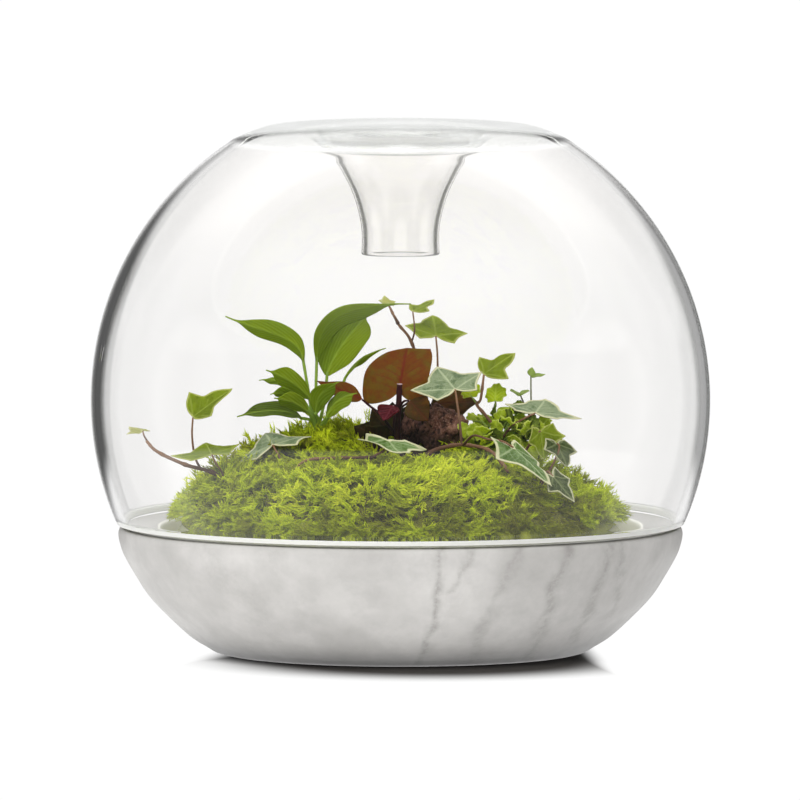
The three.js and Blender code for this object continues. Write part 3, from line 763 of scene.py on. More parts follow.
@dataclass
class Studio:
    """Camera, surround and a soft lamp."""

    aim: Triple = (-0.24, 0.0, 121.7)
    distance: float = 9000.0
    rise: float = 4.3
    view_width: float = 387.2
    sensor: float = 36.0
    far: float = 100.0
    surround: Surround = Surround()
    key_place: Triple = (-250.0, -1300.0, 1300.0)
    key_size: float = 700.0
    key_watts: float = 24.0

    def build(self) -> None:
        """Set up the whole studio."""
        self._camera()
        self.surround.build()
        self._key()
        bpy.context.scene.view_settings.view_transform = "Standard"

    def _camera(self) -> None:
        """A long lens from the front, a little above the object's middle."""
        camera = bpy.data.cameras.new("camera")
        camera.sensor_width = self.sensor
        camera.lens = self.sensor * self.distance / self.view_width
        camera.clip_end = self.far
        made = placed("camera", camera)
        rise = math.radians(self.rise)
        away = Vector((0.0, -math.cos(rise), math.sin(rise))) * self.distance * MM
        made.location = Vector(self.aim) * MM + away
        made.rotation_euler = (-away).to_track_quat("-Z", "Y").to_euler()
        bpy.context.scene.camera = made

    def _key(self) -> None:
        """A soft lamp above, to the left and in front."""
        lamp = bpy.data.lights.new("key", "AREA")
        lamp.energy = self.key_watts
        lamp.size = self.key_size * MM
        made = placed("key", lamp)
        made.location = Vector(self.key_place) * MM
        aim = Vector(self.aim) * MM - made.location
        made.rotation_euler = aim.to_track_quat("-Z", "Y").to_euler()
        made.visible_camera = made.visible_glossy = made.visible_transmission = False


@dataclass
class Floor:
    """A white floor with a painted soft shadow towards the front, as lamps behind the bowl would throw it.

    Lengths are in metres, as its material reads them.
    """

    half: float = 6.0
    # Where the painted shadow lies, how soft it is, its contact shade and its side edges.
    shadow_radius: float = 0.096
    shadow_end: Pair = (0.016, -0.052)
    shadow_blur: Pair = (-0.028, 0.052)
    contact: Pair = (0.084, 0.116)
    right_edge: Pair = (0.084, 0.097)
    right_lean: float = 0.08
    left_edge: Pair = (0.07, 0.092)
    left_lean: float = 0.25
    glow: Pair = (1.02, 2.2)
    under_bowl: Pair = (0.096, 0.13)
    under_level: float = 0.04
    right_dim: Pair = (-0.02, 0.14)
    right_dim_depth: float = 0.45
    bounce_share: float = 0.5
    dark: Colour = (0.03, 0.027, 0.024)
    white: Colour = (0.95, 0.95, 0.95)

    def build(self) -> None:
        """Make the floor."""
        mesh = bpy.data.meshes.new("floor")
        corners = [(x * self.half, y * self.half, 0) for x, y in ((-1, -1), (1, -1), (1, 1), (-1, 1))]
        mesh.from_pydata(corners, [], [(0, 1, 2, 3)])
        mesh.materials.append(self._material())
        made = placed("floor", mesh)
        made.visible_glossy = made.visible_transmission = False

    def _material(self) -> bpy.types.Material:
        """White that glows outside the painted shadow, dark inside it and, for bounced light, painted dark
        under the bowl.

        Returns:
            The material.
        """
        paint = Paint("floor")
        x, foot = paint.axis(paint.place(), "X"), paint.out()
        seen = paint.ray("Is Camera Ray")
        # Painted shade for bounced light: darker under the bowl and dimmer to the right.
        near = self.under_level + (1.0 - self.under_level) * foot.between(*self.under_bowl)
        near = near * (1.0 - self.right_dim_depth * x.between(*self.right_dim))
        # Painted shadow: the floor's colour and glow follow its shape.
        lit = self._lit(paint)
        bounce = lit * seen + (1.0 - seen) * near
        paint.set(Base_Color=paint.blend(bounce, self.dark, self.white), Roughness=0.9)
        strength = self.glow[1] - (self.glow[1] - self.glow[0]) * seen
        white = paint.node("ShaderNodeEmission", {}, {"Color": (1, 1, 1, 1), "Strength": strength})
        share = lit * seen + (1.0 - seen) * near * self.bounce_share
        paint.surface = paint.node("ShaderNodeMixShader", {}, {0: share, 1: paint.surface, 2: white})
        return paint.finished()

    def _lit(self, paint: Paint) -> Signal:
        """How far the floor is out of the painted shadow.

        Args:
            paint: the floor's material.

        Returns:
            0 in the painted shadow and 1 outside it.
        """
        x, y = (paint.axis(paint.place(), name) for name in "XY")
        end_x, end_y = self.shadow_end
        part = (y * (1 / end_y)).most(0.0).least(1.0)
        aside, ahead = x - end_x * part, y - end_y * part
        away = (aside * aside + ahead * ahead) ** 0.5 - self.shadow_radius
        lit = away.between(*self.shadow_blur) * paint.out().between(*self.contact)
        right = (x + self.right_lean * y).between(*self.right_edge)
        left = (self.left_lean * y - x).between(*self.left_edge)
        return lit.most(right.most(left))


# ---- Marble bowl ----


@dataclass(frozen=True)
class Vein:
    """A grey vein in the marble: its way as X and height, its width and its depth of colour."""

    way: tuple[Pair, ...]
    width: float
    depth: float
    front: bool = True


@dataclass
class MarbleBowl:
    """The turned bowl: a flat foot, a rounded side, a ledge for the dome and an open basin."""

    foot_radius: float = 88.0
    side: tuple[Pair, ...] = (
        (88, 0), (91, 0.8), (94.6, 3), (102.4, 8), (113, 17.7), (122, 27.3), (128.3, 37),
        (133.8, 46.7), (136, 53), (136.6, 57.5), (135.6, 60.2), (133.6, 61),
    )
    ledge: Pair = (133.0, 119.0)
    basin: tuple[Pair, ...] = (
        (118, 61), (116, 59.6), (115, 52), (111, 40), (103, 28), (90, 18), (70, 13), (40, 12),
    )
    basin_floor: tuple[Pair, ...] = ((20.0, 12.0), (0.0, 12.0))
    sides: int = 420
    veins: tuple[Vein, ...] = (
        Vein(((20.6, 64), (19.1, 59.9), (15.7, 22.9), (8.5, 0.7), (7, -4)), 1.5, 0.75),
        Vein(((33.5, 59), (32.2, 55.5), (26.9, 47), (24, 40)), 1.3, 0.6),
        Vein(((57.5, 62), (54.5, 55), (41.4, 28.2), (37, 12.1), (35, 4)), 2.6, 0.42),
        Vein(((81, 61), (79.6, 54.8), (72.8, 38.2), (67.5, 18.9), (62.2, 4.5), (60, 0)), 2.2, 0.62),
        Vein(((102.5, 62), (100.9, 56), (93.7, 36.7), (87.9, 20.6), (82, 10)), 2.8, 0.6),
        Vein(((107, 60), (106.2, 54), (104.8, 30.3), (99, 21.6)), 1.8, 0.45),
        Vein(((-96, 60), (-84, 44), (-70, 30), (-62, 14)), 6.0, 0.22),
        Vein(((-64, 58), (-58, 40), (-46, 26)), 4.5, 0.16),
        Vein(((-88, 62), (-74, 40), (-66, 16), (-50, 0)), 2.6, 0.6, False),
        Vein(((-30, 62), (-24, 38), (-8, 12), (0, -2)), 1.8, 0.7, False),
        Vein(((36, 61), (30, 46), (34, 20), (22, 2)), 2.8, 0.45, False),
        Vein(((92, 60), (80, 36), (70, 12)), 2.4, 0.6, False),
    )
    lit_basin_out: Pair = (0.1182, 0.1172)
    lit_basin_high: Pair = (0.03, 0.04)
    ragged: float = 1.8
    vein_spread: float = 1.25

    def build(self) -> None:
        """Make the bowl."""
        foot = [(r, 0.0) for r in np.linspace(0, self.foot_radius, 12, endpoint=False)]
        ledge = [(r, LEDGE) for r in np.linspace(*self.ledge, 6)]
        side, basin = smooth_way(self.side, 9), smooth_way(self.basin, 7)
        profile = np.vstack([foot, side, ledge, basin, self.basin_floor])
        shape = outward(turned(profile, self.sides))
        draft = Draft(("vein",))
        draft.add(shape, vein=self._vein_marks(shape[0]))
        draft.piece("marble_bowl", self._marble(), "marble", "marble_base")

    def _vein_marks(self, points: np.ndarray) -> np.ndarray:
        """How grey the veins make the marble.

        Args:
            points: points of the bowl.

        Returns:
            A number from 0 to 1 for each point.
        """
        shift = np.stack([wander(points, 12, 3.1), wander(points, 9, 7.7)], -1)
        ragged = points[:, [0, 2]] + self.ragged * shift
        total = np.zeros(len(points))
        for vein in self.veins:
            away = distance_to_way(ragged, smooth_way(vein.way, 6))
            width = self.vein_spread * vein.width * (1 + 0.5 * wander(points, 11, vein.width))
            facing = points[:, 1] < 0 if vein.front else points[:, 1] > 0
            total += facing * vein.depth * np.exp(-((away / np.maximum(width, 0.5)) ** 2))
        return np.clip(total, 0, 1)

    def _marble(self) -> bpy.types.Material:
        """White marble, honed to a satin, with soft clouds and grey veins, and painted light that makes
        the upper inner wall of the basin paler.

        Returns:
            The material.
        """
        paint = Paint("marble")
        clouds, fine = paint.grain(46, 5, 0.6), paint.grain(5, 4, 0.6)
        body = paint.ramp(clouds, (0.3, (0.34, 0.33, 0.315)), (0.5, (0.425, 0.414, 0.398)),
                          (0.7, (0.5, 0.488, 0.47)))
        body = paint.blend(0.3 * paint.grain(15, 5, 0.65).between(0.45, 0.7), body, (0.3, 0.29, 0.278))
        body = paint.blend(0.25 * fine.between(0.35, 0.75), body, (0.37, 0.36, 0.348))
        # Painted light: the upper inner wall of the basin is made nearly white.
        basin = paint.out().between(*self.lit_basin_out) * paint.high().between(*self.lit_basin_high)
        body = paint.blend(basin * 0.85, body, (0.88, 0.87, 0.8))
        vein = paint.mark("vein") * (0.3 + 0.8 * paint.grain(6, 5, 0.75).between(0.35, 0.65))
        paint.set(Base_Color=paint.blend(vein * 0.75, body, (0.16, 0.15, 0.138)),
                  Roughness=0.28 + 0.14 * fine)
        paint.set(Normal=paint.bump(fine, 0.05, 0.5), Specular_IOR_Level=0.5)
        return paint.finished()


# ---- Glass dome ----


@dataclass
class GlassDome:
    """The blown dome: a globe that stands on the ledge, its crest drawn down into a funnel."""

    radius: float = 147.75
    centre: float = 121.7
    walls: tuple[float, ...] = (4.5, 4.5, 3.8, 2.2, 2.2)
    wall_runs: tuple[float, ...] = (0, 0.45, 0.69, 0.83, 1)
    foot: float = 61.3
    shoulder: float = 84.0
    crest: tuple[Pair, ...] = (
        (76.5, 247.8), (65.5, 252.1), (57, 253.2), (49.5, 252.4), (41.5, 249.2), (33.2, 241.2),
        (26.3, 231.2), (21.3, 220), (18.2, 207.9), (17.6, 199.5), (17.8, 193),
    )
    sides: int = 264
    rim_height: Pair = (61.7, 64.5)
    rim_half: float = 1.6
    bubble: Triple = (-143.0, -28.4, 146.0)
    bubble_half: Triple = (1.3, 1.5, 4.2)
    funnel_out: Pair = (0.046, 0.04)
    funnel_high: Pair = (0.17, 0.19)
    dark_edge: Band = Band((0.07, 0.1), (0.235, 0.17))
    tint_high: Pair = (0.12, 0.22)
    plain_high: Pair = (0.246, 0.2495)
    plain_share: float = 0.85

    def build(self) -> None:
        """Make the dome."""
        start = math.asin((self.foot + self.walls[0] / 2 - self.centre) / self.radius)
        end = math.acos(self.shoulder / self.radius)
        angle = np.linspace(start, end, 80)
        globe = np.stack([self.radius * np.cos(angle), self.centre + self.radius * np.sin(angle)], -1)
        drawn = smooth_way([globe[-9], globe[-1], *self.crest], 8)[9:]
        line = np.vstack([globe, drawn])
        tangent = unit(np.gradient(line, axis=0))
        normal = np.stack([tangent[:, 1], -tangent[:, 0]], -1)
        wall = np.interp(np.linspace(0, 1, len(line)), self.wall_runs, self.walls)
        outer, inner = line + normal * wall[:, None] / 2, line - normal * wall[:, None] / 2
        lip = self._round_end(line[-1], tangent[-1], normal[-1], wall[-1])
        foot = self._round_end(line[0], -tangent[0], -normal[0], wall[0])
        profile = np.vstack([outer, lip, inner[::-1], foot])
        draft = Draft()
        draft.add(outward(turned_loop(profile, self.sides)))
        points, faces = ball(3)
        points, faces = outward((points * self.bubble_half + self.bubble, [faces]))
        draft.add((points, [face[:, ::-1] for face in faces]))
        draft.piece("blown_glass", self._glass(), "clear_glass", "glass_dome")
        self._add_rim()

    def _add_rim(self) -> None:
        """Make the ground rim round the foot of the wall."""
        height = np.linspace(*self.rim_height, 7)
        away = np.sqrt(self.radius**2 - (height - self.centre) ** 2)
        outer, inner = (np.stack([away + half, height], -1) for half in (self.rim_half, -self.rim_half))
        ring = np.vstack([outer, inner[::-1]])
        rim = Draft()
        rim.add(outward(turned_loop(ring, self.sides)))
        rim.piece("ground_rim", self._ground(), "clear_glass", "glass_dome")

    @staticmethod
    def _round_end(middle: np.ndarray, ahead: np.ndarray, side: np.ndarray, wall: float) -> np.ndarray:
        """Points round the end of the wall, from one side to the other."""
        angle = np.linspace(0, math.pi, 9)[1:-1, None]
        return middle + wall / 2 * (np.cos(angle) * side + np.sin(angle) * ahead * 0.8)

    @staticmethod
    def _ground() -> bpy.types.Material:
        """The ground rim inside the foot of the wall: pale, with a thin olive line of painted shade where
        it stands, at the front only.

        Returns:
            The material.
        """
        paint = Paint("ground rim")
        # Painted shade: a thin olive line at the foot, on the front half only.
        line = paint.high().between(0.0624, 0.0621) * paint.axis(paint.place(), "Y").between(0.02, -0.03)
        colour = paint.blend(line, (0.8, 0.8, 0.77), (0.2, 0.2, 0.13))
        paint.set(Base_Color=colour, Roughness=0.4, Transmission_Weight=0.3, IOR=1.2)
        return paint.finished()

    def _glass(self) -> bpy.types.Material:
        """Clear glass with painted shade: darker where it is looked through edgewise and on the funnel;
        light goes straight through it.

        Its crest is mostly plain see-through glass, so that it draws no dark rings.

        Returns:
            The material.
        """
        paint = Paint("clear glass")
        # Painted shade: a darker tint where the glass is seen edgewise and on the funnel's walls.
        facing = paint.node("ShaderNodeLayerWeight", {}, {"Blend": 0.5}, "Facing")
        high = paint.high()
        funnel = paint.out().between(*self.funnel_out) * high.between(*self.funnel_high)
        thick = self.dark_edge.at(high).most(0.9 * funnel)
        clear = (0.993, 0.988, 0.982)
        edge = paint.ramp(facing, (0.0, clear), (0.64, (0.985, 0.982, 0.975)), (0.78, (0.92, 0.92, 0.905)),
                          (0.86, (0.7, 0.71, 0.695)), (0.91, (0.42, 0.43, 0.41)))
        upper = paint.blend(high.between(*self.tint_high), clear, (0.96, 0.951, 0.94))
        paint.set(Base_Color=paint.blend(thick, upper, edge), Roughness=0.0, IOR=1.5,
                  Transmission_Weight=1.0)
        straight = paint.node("ShaderNodeBsdfTransparent", {}, {"Color": (0.96, 0.965, 0.96, 1.0)})
        through = paint.ray("Is Shadow Ray").most(paint.ray("Is Diffuse Ray"))
        share = through.most(self.plain_share * high.between(*self.plain_high))
        paint.surface = paint.node("ShaderNodeMixShader", {}, {0: share, 1: paint.surface, 2: straight})
        return paint.finished()


# ---- Planted mound ----


@dataclass(frozen=True)
class Swell:
    """A soft swelling or hollow over places: centre, spread to the side and in depth, and height."""

    x: float
    y: float
    wide: float
    deep: float
    height: float

    def at(self, x: np.ndarray, y: np.ndarray) -> np.ndarray:
        """Height that it adds at places."""
        return self.height * np.exp(-(((x - self.x) / self.wide) ** 2) - ((y - self.y) / self.deep) ** 2)


@dataclass(frozen=True)
class Mound:
    """The surfaces that everything is planted in, as heights over X and Y.

    A cut takes the moss's edge back at one side: its depth, direction and half-width in degrees. The
    soil's drop is given as its depth, where it sets in and its width.
    """

    radius: float = 114.0
    foot: float = LEDGE
    rise: float = 37.0
    moss_depth: float = 8.0
    edge: float = 111.0
    right_cut: Triple = (7.0, 8.0, 50.0)
    left_cut: Triple = (3.5, 185.0, 40.0)
    soil_drop: Triple = (4.0, 104.0, 6.0)
    pocket: Pair = (6.0, 9.0)
    pocket_half: Pair = (27.0, 18.0)
    swells: tuple[Swell, ...] = (
        Swell(-36, 14, 30, 22, 8.5), Swell(-80, -4, 24, 30, 3),
        Swell(92, 0, 36, 70, -9), Swell(-4, -18, 48, 14, -3.5),
    )

    def moss(self, x: np.ndarray, y: np.ndarray) -> np.ndarray:
        """Height of the moss, without its shoots.

        Args:
            x: places to the right, in millimetres.
            y: places away from the front, in millimetres.

        Returns:
            One height for each place.
        """
        reach = np.minimum(1, np.hypot(x, y) / self.radius)
        swells = sum(swell.at(x, y) for swell in self.swells)
        return self.foot + self.rise * (1 - reach**3) ** 0.9 + swells * (1 - reach**6)

    def bareness(self, x: np.ndarray, y: np.ndarray) -> np.ndarray:
        """How far places are into the bare pocket.

        Args:
            x: places to the right, in millimetres.
            y: places away from the front, in millimetres.

        Returns:
            1 in its middle and 0 outside, for each place.
        """
        across = (x - self.pocket[0]) / self.pocket_half[0]
        deep = (y - self.pocket[1]) / self.pocket_half[1]
        return np.maximum(0, 1 - across**2 - deep**2)

    def soil(self, x: np.ndarray, y: np.ndarray) -> np.ndarray:
        """Height of the soil.

        Args:
            x: places to the right, in millimetres.
            y: places away from the front, in millimetres.

        Returns:
            One height for each place.
        """
        bare = np.minimum(1, 3 * self.bareness(x, y))
        out = np.hypot(x, y)
        rim = np.minimum(1, out / self.radius) ** 4
        deep, start, width = self.soil_drop
        drop = deep * np.clip((out - start) / width, 0, 1)
        return self.moss(x, y) - self.moss_depth * (1 - 0.75 * bare) + 2 * rim - drop

    def reach(self, angle: np.ndarray) -> np.ndarray:
        """Distance of the moss's edge from the axis, which is less at the sides.

        Args:
            angle: directions, in radians.

        Returns:
            One distance for each direction.
        """
        edge = self.edge
        for depth, middle, half in (self.right_cut, self.left_cut):
            off = (np.degrees(angle) - middle + 180) % 360 - 180
            edge = edge - depth * np.exp(-((off / half) ** 2))
        return edge

    def normals(self, x: np.ndarray, y: np.ndarray) -> np.ndarray:
        """Directions straight out of the moss.

        Args:
            x: places to the right, in millimetres.
            y: places away from the front, in millimetres.

        Returns:
            One direction for each place.
        """
        slope_x = (self.moss(x + 1, y) - self.moss(x - 1, y)) / 2
        slope_y = (self.moss(x, y + 1) - self.moss(x, y - 1)) / 2
        return unit(np.stack([-slope_x, -slope_y, np.ones_like(x)], -1))


@dataclass
class Soil:
    """Dark soil that fills the basin, bare and crumbly round the stones."""

    mound: Mound
    basin: tuple[Pair, ...] = (
        (0, 12.5), (70, 13.5), (90, 18.6), (102.4, 28.6), (110.4, 40.6), (114.4, 52.6),
    )
    edge: float = 115.4
    rings: int = 90
    sides: int = 240
    relief: tuple[Layer, ...] = (Layer(0.9, 7, 2.2), Layer(0.6, 2.6, 5.1))
    relief_out: float = 112.0
    sunk: float = 0.3
    painted_light_ring: Pair = (0.1, 0.106)
    crumbs: int = 1100
    quick_crumbs: int = 200
    seed: int = 11

    def build(self) -> None:
        """Make the soil and its crumbs."""
        top = [(r, 0.0) for r in np.linspace(self.edge, 0, self.rings)]
        profile = np.vstack([self.basin, top])
        points, faces = turned(profile, self.sides)
        upper = np.zeros(len(points), bool)
        upper[(len(self.basin) - 1) * self.sides : -2] = True
        upper[-1] = True
        x, y = points[upper, 0], points[upper, 1]
        flat = level_points(x, y)
        relief = sum(layer.at(flat) for layer in self.relief)
        points[upper, 2] = self.mound.soil(x, y) + relief * (np.hypot(x, y) < self.relief_out) - self.sunk
        draft = Draft(("crumb",))
        draft.add(outward((points, faces)), crumb=0.0)
        self._add_crumbs(draft)
        draft.piece("soil_fill", self._earth(), "soil", "soil")

    def _add_crumbs(self, draft: Draft) -> None:
        """Strew crumbs of soil and bark over the bare pocket.

        Args:
            draft: the draft that takes them.
        """
        draws = np.random.default_rng(self.seed)
        points, faces = ball(1)
        for _ in range(self.crumbs):
            angle, out = draws.uniform(0, 2 * math.pi), math.sqrt(draws.uniform(0, 1.2))
            x = self.mound.pocket[0] + self.mound.pocket_half[0] * out * math.cos(angle)
            y = self.mound.pocket[1] + self.mound.pocket_half[1] * out * math.sin(angle)
            size = draws.uniform(0.4, 1.5) * draws.uniform(0.6, 1.2, 3)
            lump = points * size * draws.uniform(0.75, 1.25, (len(points), 1))
            turn = Vector(draws.normal(size=3)).to_track_quat("Z", "Y").to_matrix()
            height = float(self.mound.soil(np.array(x), np.array(y)))
            draft.add((lump @ np.array(turn).T + (x, y, height), [faces]), crumb=draws.uniform(0.2, 1))

    def _earth(self) -> bpy.types.Material:
        """Damp dark earth with paler crumbs, and painted light that makes a pale olive ring at its edge.

        Returns:
            The material.
        """
        paint = Paint("earth")
        fine = paint.grain(1.6, 5, 0.7)
        body = paint.ramp(fine, (0.3, (0.008, 0.005, 0.003)), (0.55, (0.022, 0.014, 0.008)),
                          (0.8, (0.06, 0.038, 0.02)))
        body = paint.blend(paint.mark("crumb") * 0.5, body, (0.06, 0.034, 0.018))
        # Painted light: the ring of soil at the edge, in shade by the basin wall, is made pale olive.
        painted_light = paint.out().between(*self.painted_light_ring)
        body = paint.blend(painted_light * (0.65 + 0.35 * fine), body, (0.68, 0.69, 0.46))
        paint.set(Base_Color=body, Roughness=0.9, Normal=paint.bump(fine, 0.6))
        return paint.finished()


@dataclass(frozen=True)
class Pad:
    """A moss pad: a wedge round the bare pocket, and in how many pieces its shoots are made."""

    node: str
    start: float
    end: float
    pieces: int


@dataclass
class Shoot:
    """One feathery moss shoot along X, with Z up, and how near each point is to a tip."""

    points: np.ndarray
    faces: list[np.ndarray]
    tip: np.ndarray


@dataclass
class MossCarpet:
    """Four pads of creeping feather moss."""

    mound: Mound
    pads: tuple[Pad, ...] = (
        Pad("moss_front", 197, 322, 6), Pad("moss_right", 322, 405, 3),
        Pad("moss_back", 45, 122, 3), Pad("moss_left", 122, 197, 4),
    )
    shoots: int = 6400
    kinds: int = 14
    seed: int = 3
    joint: float = 0.25
    narrow: float = 1.03
    shoot_relief: tuple[Layer, ...] = (Layer(2.6, 11, 4.0), Layer(1.2, 5, 9.0))
    bed_relief: tuple[Layer, ...] = (Layer(2.4, 11, 4.0), Layer(1.1, 5, 9.0), Layer(0.7, 1.8, 3.0))
    drift: Layer = Layer(3.4, 22, 1.0)
    mottle: Layer = Layer(0.42, 15, 6.0)
    lengths: Pair = (9.0, 15.0)
    branches: int = 15
    wisps: int = 4
    wisp_lengths: Pair = (12.0, 17.0)
    wisp_branches: int = 9
    wisp_share: float = 0.1
    steep_share: float = 0.12
    steep_tilt: Pair = (0.6, 1.3)
    flat_tilt: Pair = (0.0, 0.55)
    sizes: Pair = (0.62, 1.08)
    rim_start: float = 96.0
    rim_width: float = 8.0
    # Swells of moss tone: lime patches and darker olive ones, and painted shade on the right and along the
    # dip behind the front ridge.
    tone_and_shade_swells: tuple[Swell, ...] = (
        Swell(-34, -78, 30, 14, 0.42), Swell(6, -82, 20, 12, 0.3), Swell(38, -70, 22, 16, 0.4),
        Swell(75, -76, 22, 32, -0.95), Swell(-6, -40, 44, 14, -0.35), Swell(-86, -60, 26, 22, -0.12),
        Swell(-36, -10, 30, 14, -0.05), Swell(100, -30, 14, 30, 0.12), Swell(0, -104, 70, 8, -0.2),
        Swell(24, -56, 24, 12, 0.3),
    )
    pressed: tuple[Swell, ...] = (
        Swell(2, -26, 46, 20, 1.0), Swell(-4, -50, 22, 12, 0.8), Swell(-62, -22, 18, 14, 0.9),
        Swell(-90, -36, 16, 14, 0.9), Swell(62, -66, 18, 20, 0.9), Swell(80, -62, 12, 14, 0.8),
        Swell(68, -30, 16, 14, 0.8), Swell(42, -44, 14, 12, 0.8),
    )

    def build(self) -> None:
        """Make the pads and their shoots."""
        draws = np.random.default_rng(self.seed)
        kinds = [self._shoot(draws, number >= self.kinds) for number in range(self.kinds + self.wisps)]
        count = self.shoots
        places = self._places(draws, count)
        x, y = places[:, 0], places[:, 1]
        angle = np.degrees(np.arctan2(y - self.mound.pocket[1], x - self.mound.pocket[0])) % 360
        strand, bed = self._strand_finish(), self._bed_finish()
        for pad in self.pads:
            self._bed(pad, bed)
            here = places[(angle - pad.start) % 360 < pad.end - pad.start]
            for number in range(pad.pieces):
                draft = Draft(("tip", "tone"))
                self._grow(draft, kinds, here[number :: pad.pieces], draws)
                draft.piece(f"{pad.node}_shoots_{number + 1}", strand, "moss", pad.node)

    @staticmethod
    def _needle(way: np.ndarray, radii: np.ndarray) -> Shape:
        """A slim three-sided needle with a pointed end.

        Args:
            way: its line, from its foot to its tip.
            radii: its radius at each point of the line.

        Returns:
            The closed body.
        """
        body, faces = tube(way[:-1], radii[:-1], 3)
        rings = len(way) - 1
        points = np.vstack([body[:-2], way[-1:]])
        last = (rings - 1) * 3
        tip = np.array([[last + k, last + (k + 1) % 3, rings * 3] for k in range(3)])
        return points, [faces[0], np.array([[2, 1, 0]]), tip]

    def _add_needle(self, draft: Draft, way: np.ndarray, radii: np.ndarray, along: np.ndarray) -> None:
        """Add a needle to a shoot.

        Args:
            draft: the shoot's draft.
            way: the needle's line.
            radii: its radius at each point of the line.
            along: how near to a tip the moss is at each point of the line.
        """
        draft.add(self._needle(way, radii), tip=np.append(np.repeat(along[:-1], 3), along[-1]))

    def _shoot(self, draws: np.random.Generator, wisp: bool) -> Shoot:
        """Make one kind of shoot.

        Args:
            draws: the source of random numbers.
            wisp: whether it is long and sparse.

        Returns:
            The shoot, 9 to 17 mm long.
        """
        length = draws.uniform(*(self.wisp_lengths if wisp else self.lengths))
        bow, sway = draws.uniform(1.0, 3.6), draws.uniform(-3.2, 3.2) * (1.6 if wisp else 1)
        branches = self.wisp_branches if wisp else self.branches
        part = np.linspace(0, 1, 6)
        way = np.stack([length * part, sway * part**2, bow * np.sin(2.6 * part)], -1)
        draft = Draft(("tip",))
        self._add_needle(draft, way, 0.32 * (1 - 0.5 * part), 0.15 + 0.75 * part)
        run = np.linspace(0, 1, 4)[:, None]
        branch_radii, fork_radii = 0.3 * np.array([0.85, 1.0, 0.9, 0.3]), 0.26 * np.array([0.8, 1.0, 0.3])
        for number in range(branches):
            base = 0.08 + 0.88 * number / branches
            start = np.array([np.interp(base, part, way[:, axis]) for axis in range(3)])
            side = 1 if number % 2 else -1
            reach = (1.6 + 2.6 * math.sin(math.pi * (0.12 + 0.8 * base))) * draws.uniform(0.7, 1.25)
            reach *= 0.6 if wisp else 1
            lean = (0.75, side * draws.uniform(0.7, 1.5), draws.uniform(-0.5, 0.6))
            bend = (draws.uniform(0.2, 0.9), -0.55 * side, draws.uniform(-0.3, 0.8))
            branch = start + unit(np.array(lean)) * reach * run + np.array(bend) * reach * run**2
            self._add_needle(draft, branch, branch_radii, 0.3 * base + 0.7 * run[:, 0])
            if number % 3:
                aside = (1.0, draws.uniform(-1.2, 1.2), draws.uniform(-0.9, 0.9))
                fork = branch[1] + unit(np.array(aside)) * 0.5 * reach * run[1:] * 1.2
                self._add_needle(draft, fork, fork_radii, 0.3 * base + 0.7 * run[1:, 0])
        faces = [np.vstack([f for f in draft.faces if f.shape[1] == corners]) for corners in (4, 3)]
        return Shoot(np.vstack(draft.points), faces, np.concatenate(draft.values["tip"]))

    def _places(self, draws: np.random.Generator, count: int) -> np.ndarray:
        """Draw where shoots are rooted: outside the bare pocket, and in a row round the edge.

        Args:
            draws: the source of random numbers.
            count: shoots outside the row.

        Returns:
            X and Y of each.
        """
        drawn = draws.uniform(-1, 1, (4 * count, 2)) * self.mound.edge
        x, y = drawn.T
        inside = np.hypot(self.narrow * x, y) < self.mound.reach(np.arctan2(y, x)) - 0.5
        covered = self.mound.bareness(x, y) < 0.1
        angle = np.radians(draws.uniform(0, 360, 3 * count // 10))
        away = self.mound.reach(angle) - draws.uniform(0.5, 4.5, len(angle))
        foot = np.stack([np.cos(angle), np.sin(angle)], -1) * away[:, None]
        return np.vstack([drawn[inside & covered][:count], foot])

    def _pressing(self, x: np.ndarray, y: np.ndarray) -> np.ndarray:
        """How far the moss is pressed down at places, from 0 to 1."""
        return np.clip(sum(p.at(x, y) for p in self.pressed), 0, 1)

    def _grow(self, draft: Draft, kinds: list[Shoot], places: np.ndarray,
              draws: np.random.Generator) -> None:
        """Add shoots at places.

        Args:
            draft: the draft that takes them.
            kinds: the kinds of shoot.
            places: where they are rooted.
            draws: the source of random numbers.
        """
        x, y = places.T
        flat = level_points(x, y)
        relief = sum(layer.at(flat) for layer in self.shoot_relief)
        normal = self.mound.normals(x, y)
        low = self._pressing(x, y)
        sunk = relief * (1 - 0.6 * low) - 1.6 - 2.2 * low
        root = np.stack([x, y, self.mound.moss(x, y)], -1) + normal * sunk[:, None]
        count = len(places)
        heading = self.drift.at(flat) + draws.normal(0, 0.9, count) + np.arctan2(y, x)
        level = np.stack([np.cos(heading), np.sin(heading), 0 * heading], -1)
        level = unit(level - normal * np.sum(level * normal, -1, keepdims=True))
        wispy = draws.uniform(0, 1, count) < self.wisp_share
        steep = wispy | (draws.uniform(0, 1, count) < self.steep_share)
        tilts = [draws.uniform(*tilt, count) for tilt in (self.steep_tilt, self.flat_tilt)]
        tilt = np.where(steep, *tilts)[:, None] * (1 - 0.75 * low[:, None])
        ahead = np.cos(tilt) * level + np.sin(tilt) * normal
        side = unit(np.cross(normal, ahead))
        roll = draws.normal(0, 1.1, count)[:, None]
        cosine, sine = np.cos(roll), np.sin(roll)
        upper = np.cross(ahead, side)
        side, upper = cosine * side + sine * upper, cosine * upper - sine * side
        size = draws.uniform(*self.sizes, count) * (1 - 0.25 * low)
        size *= 1 - 0.38 * np.clip((np.hypot(x, y) - self.rim_start) / self.rim_width, 0, 1)
        axes = np.stack([ahead, side, upper], 1) * size[:, None, None]
        tone = 0.5 + self.mottle.at(flat) + sum(t.at(x, y) for t in self.tone_and_shade_swells)
        tone = tone + draws.normal(0, 0.17, count)
        wisps = draws.integers(self.kinds, len(kinds), count)
        kind = np.where(wispy, wisps, draws.integers(0, self.kinds, count))
        for number, shoot in enumerate(kinds):
            chosen = kind == number
            if chosen.any():
                self._add_copies(draft, shoot, root[chosen], axes[chosen], sunk[chosen], tone[chosen])

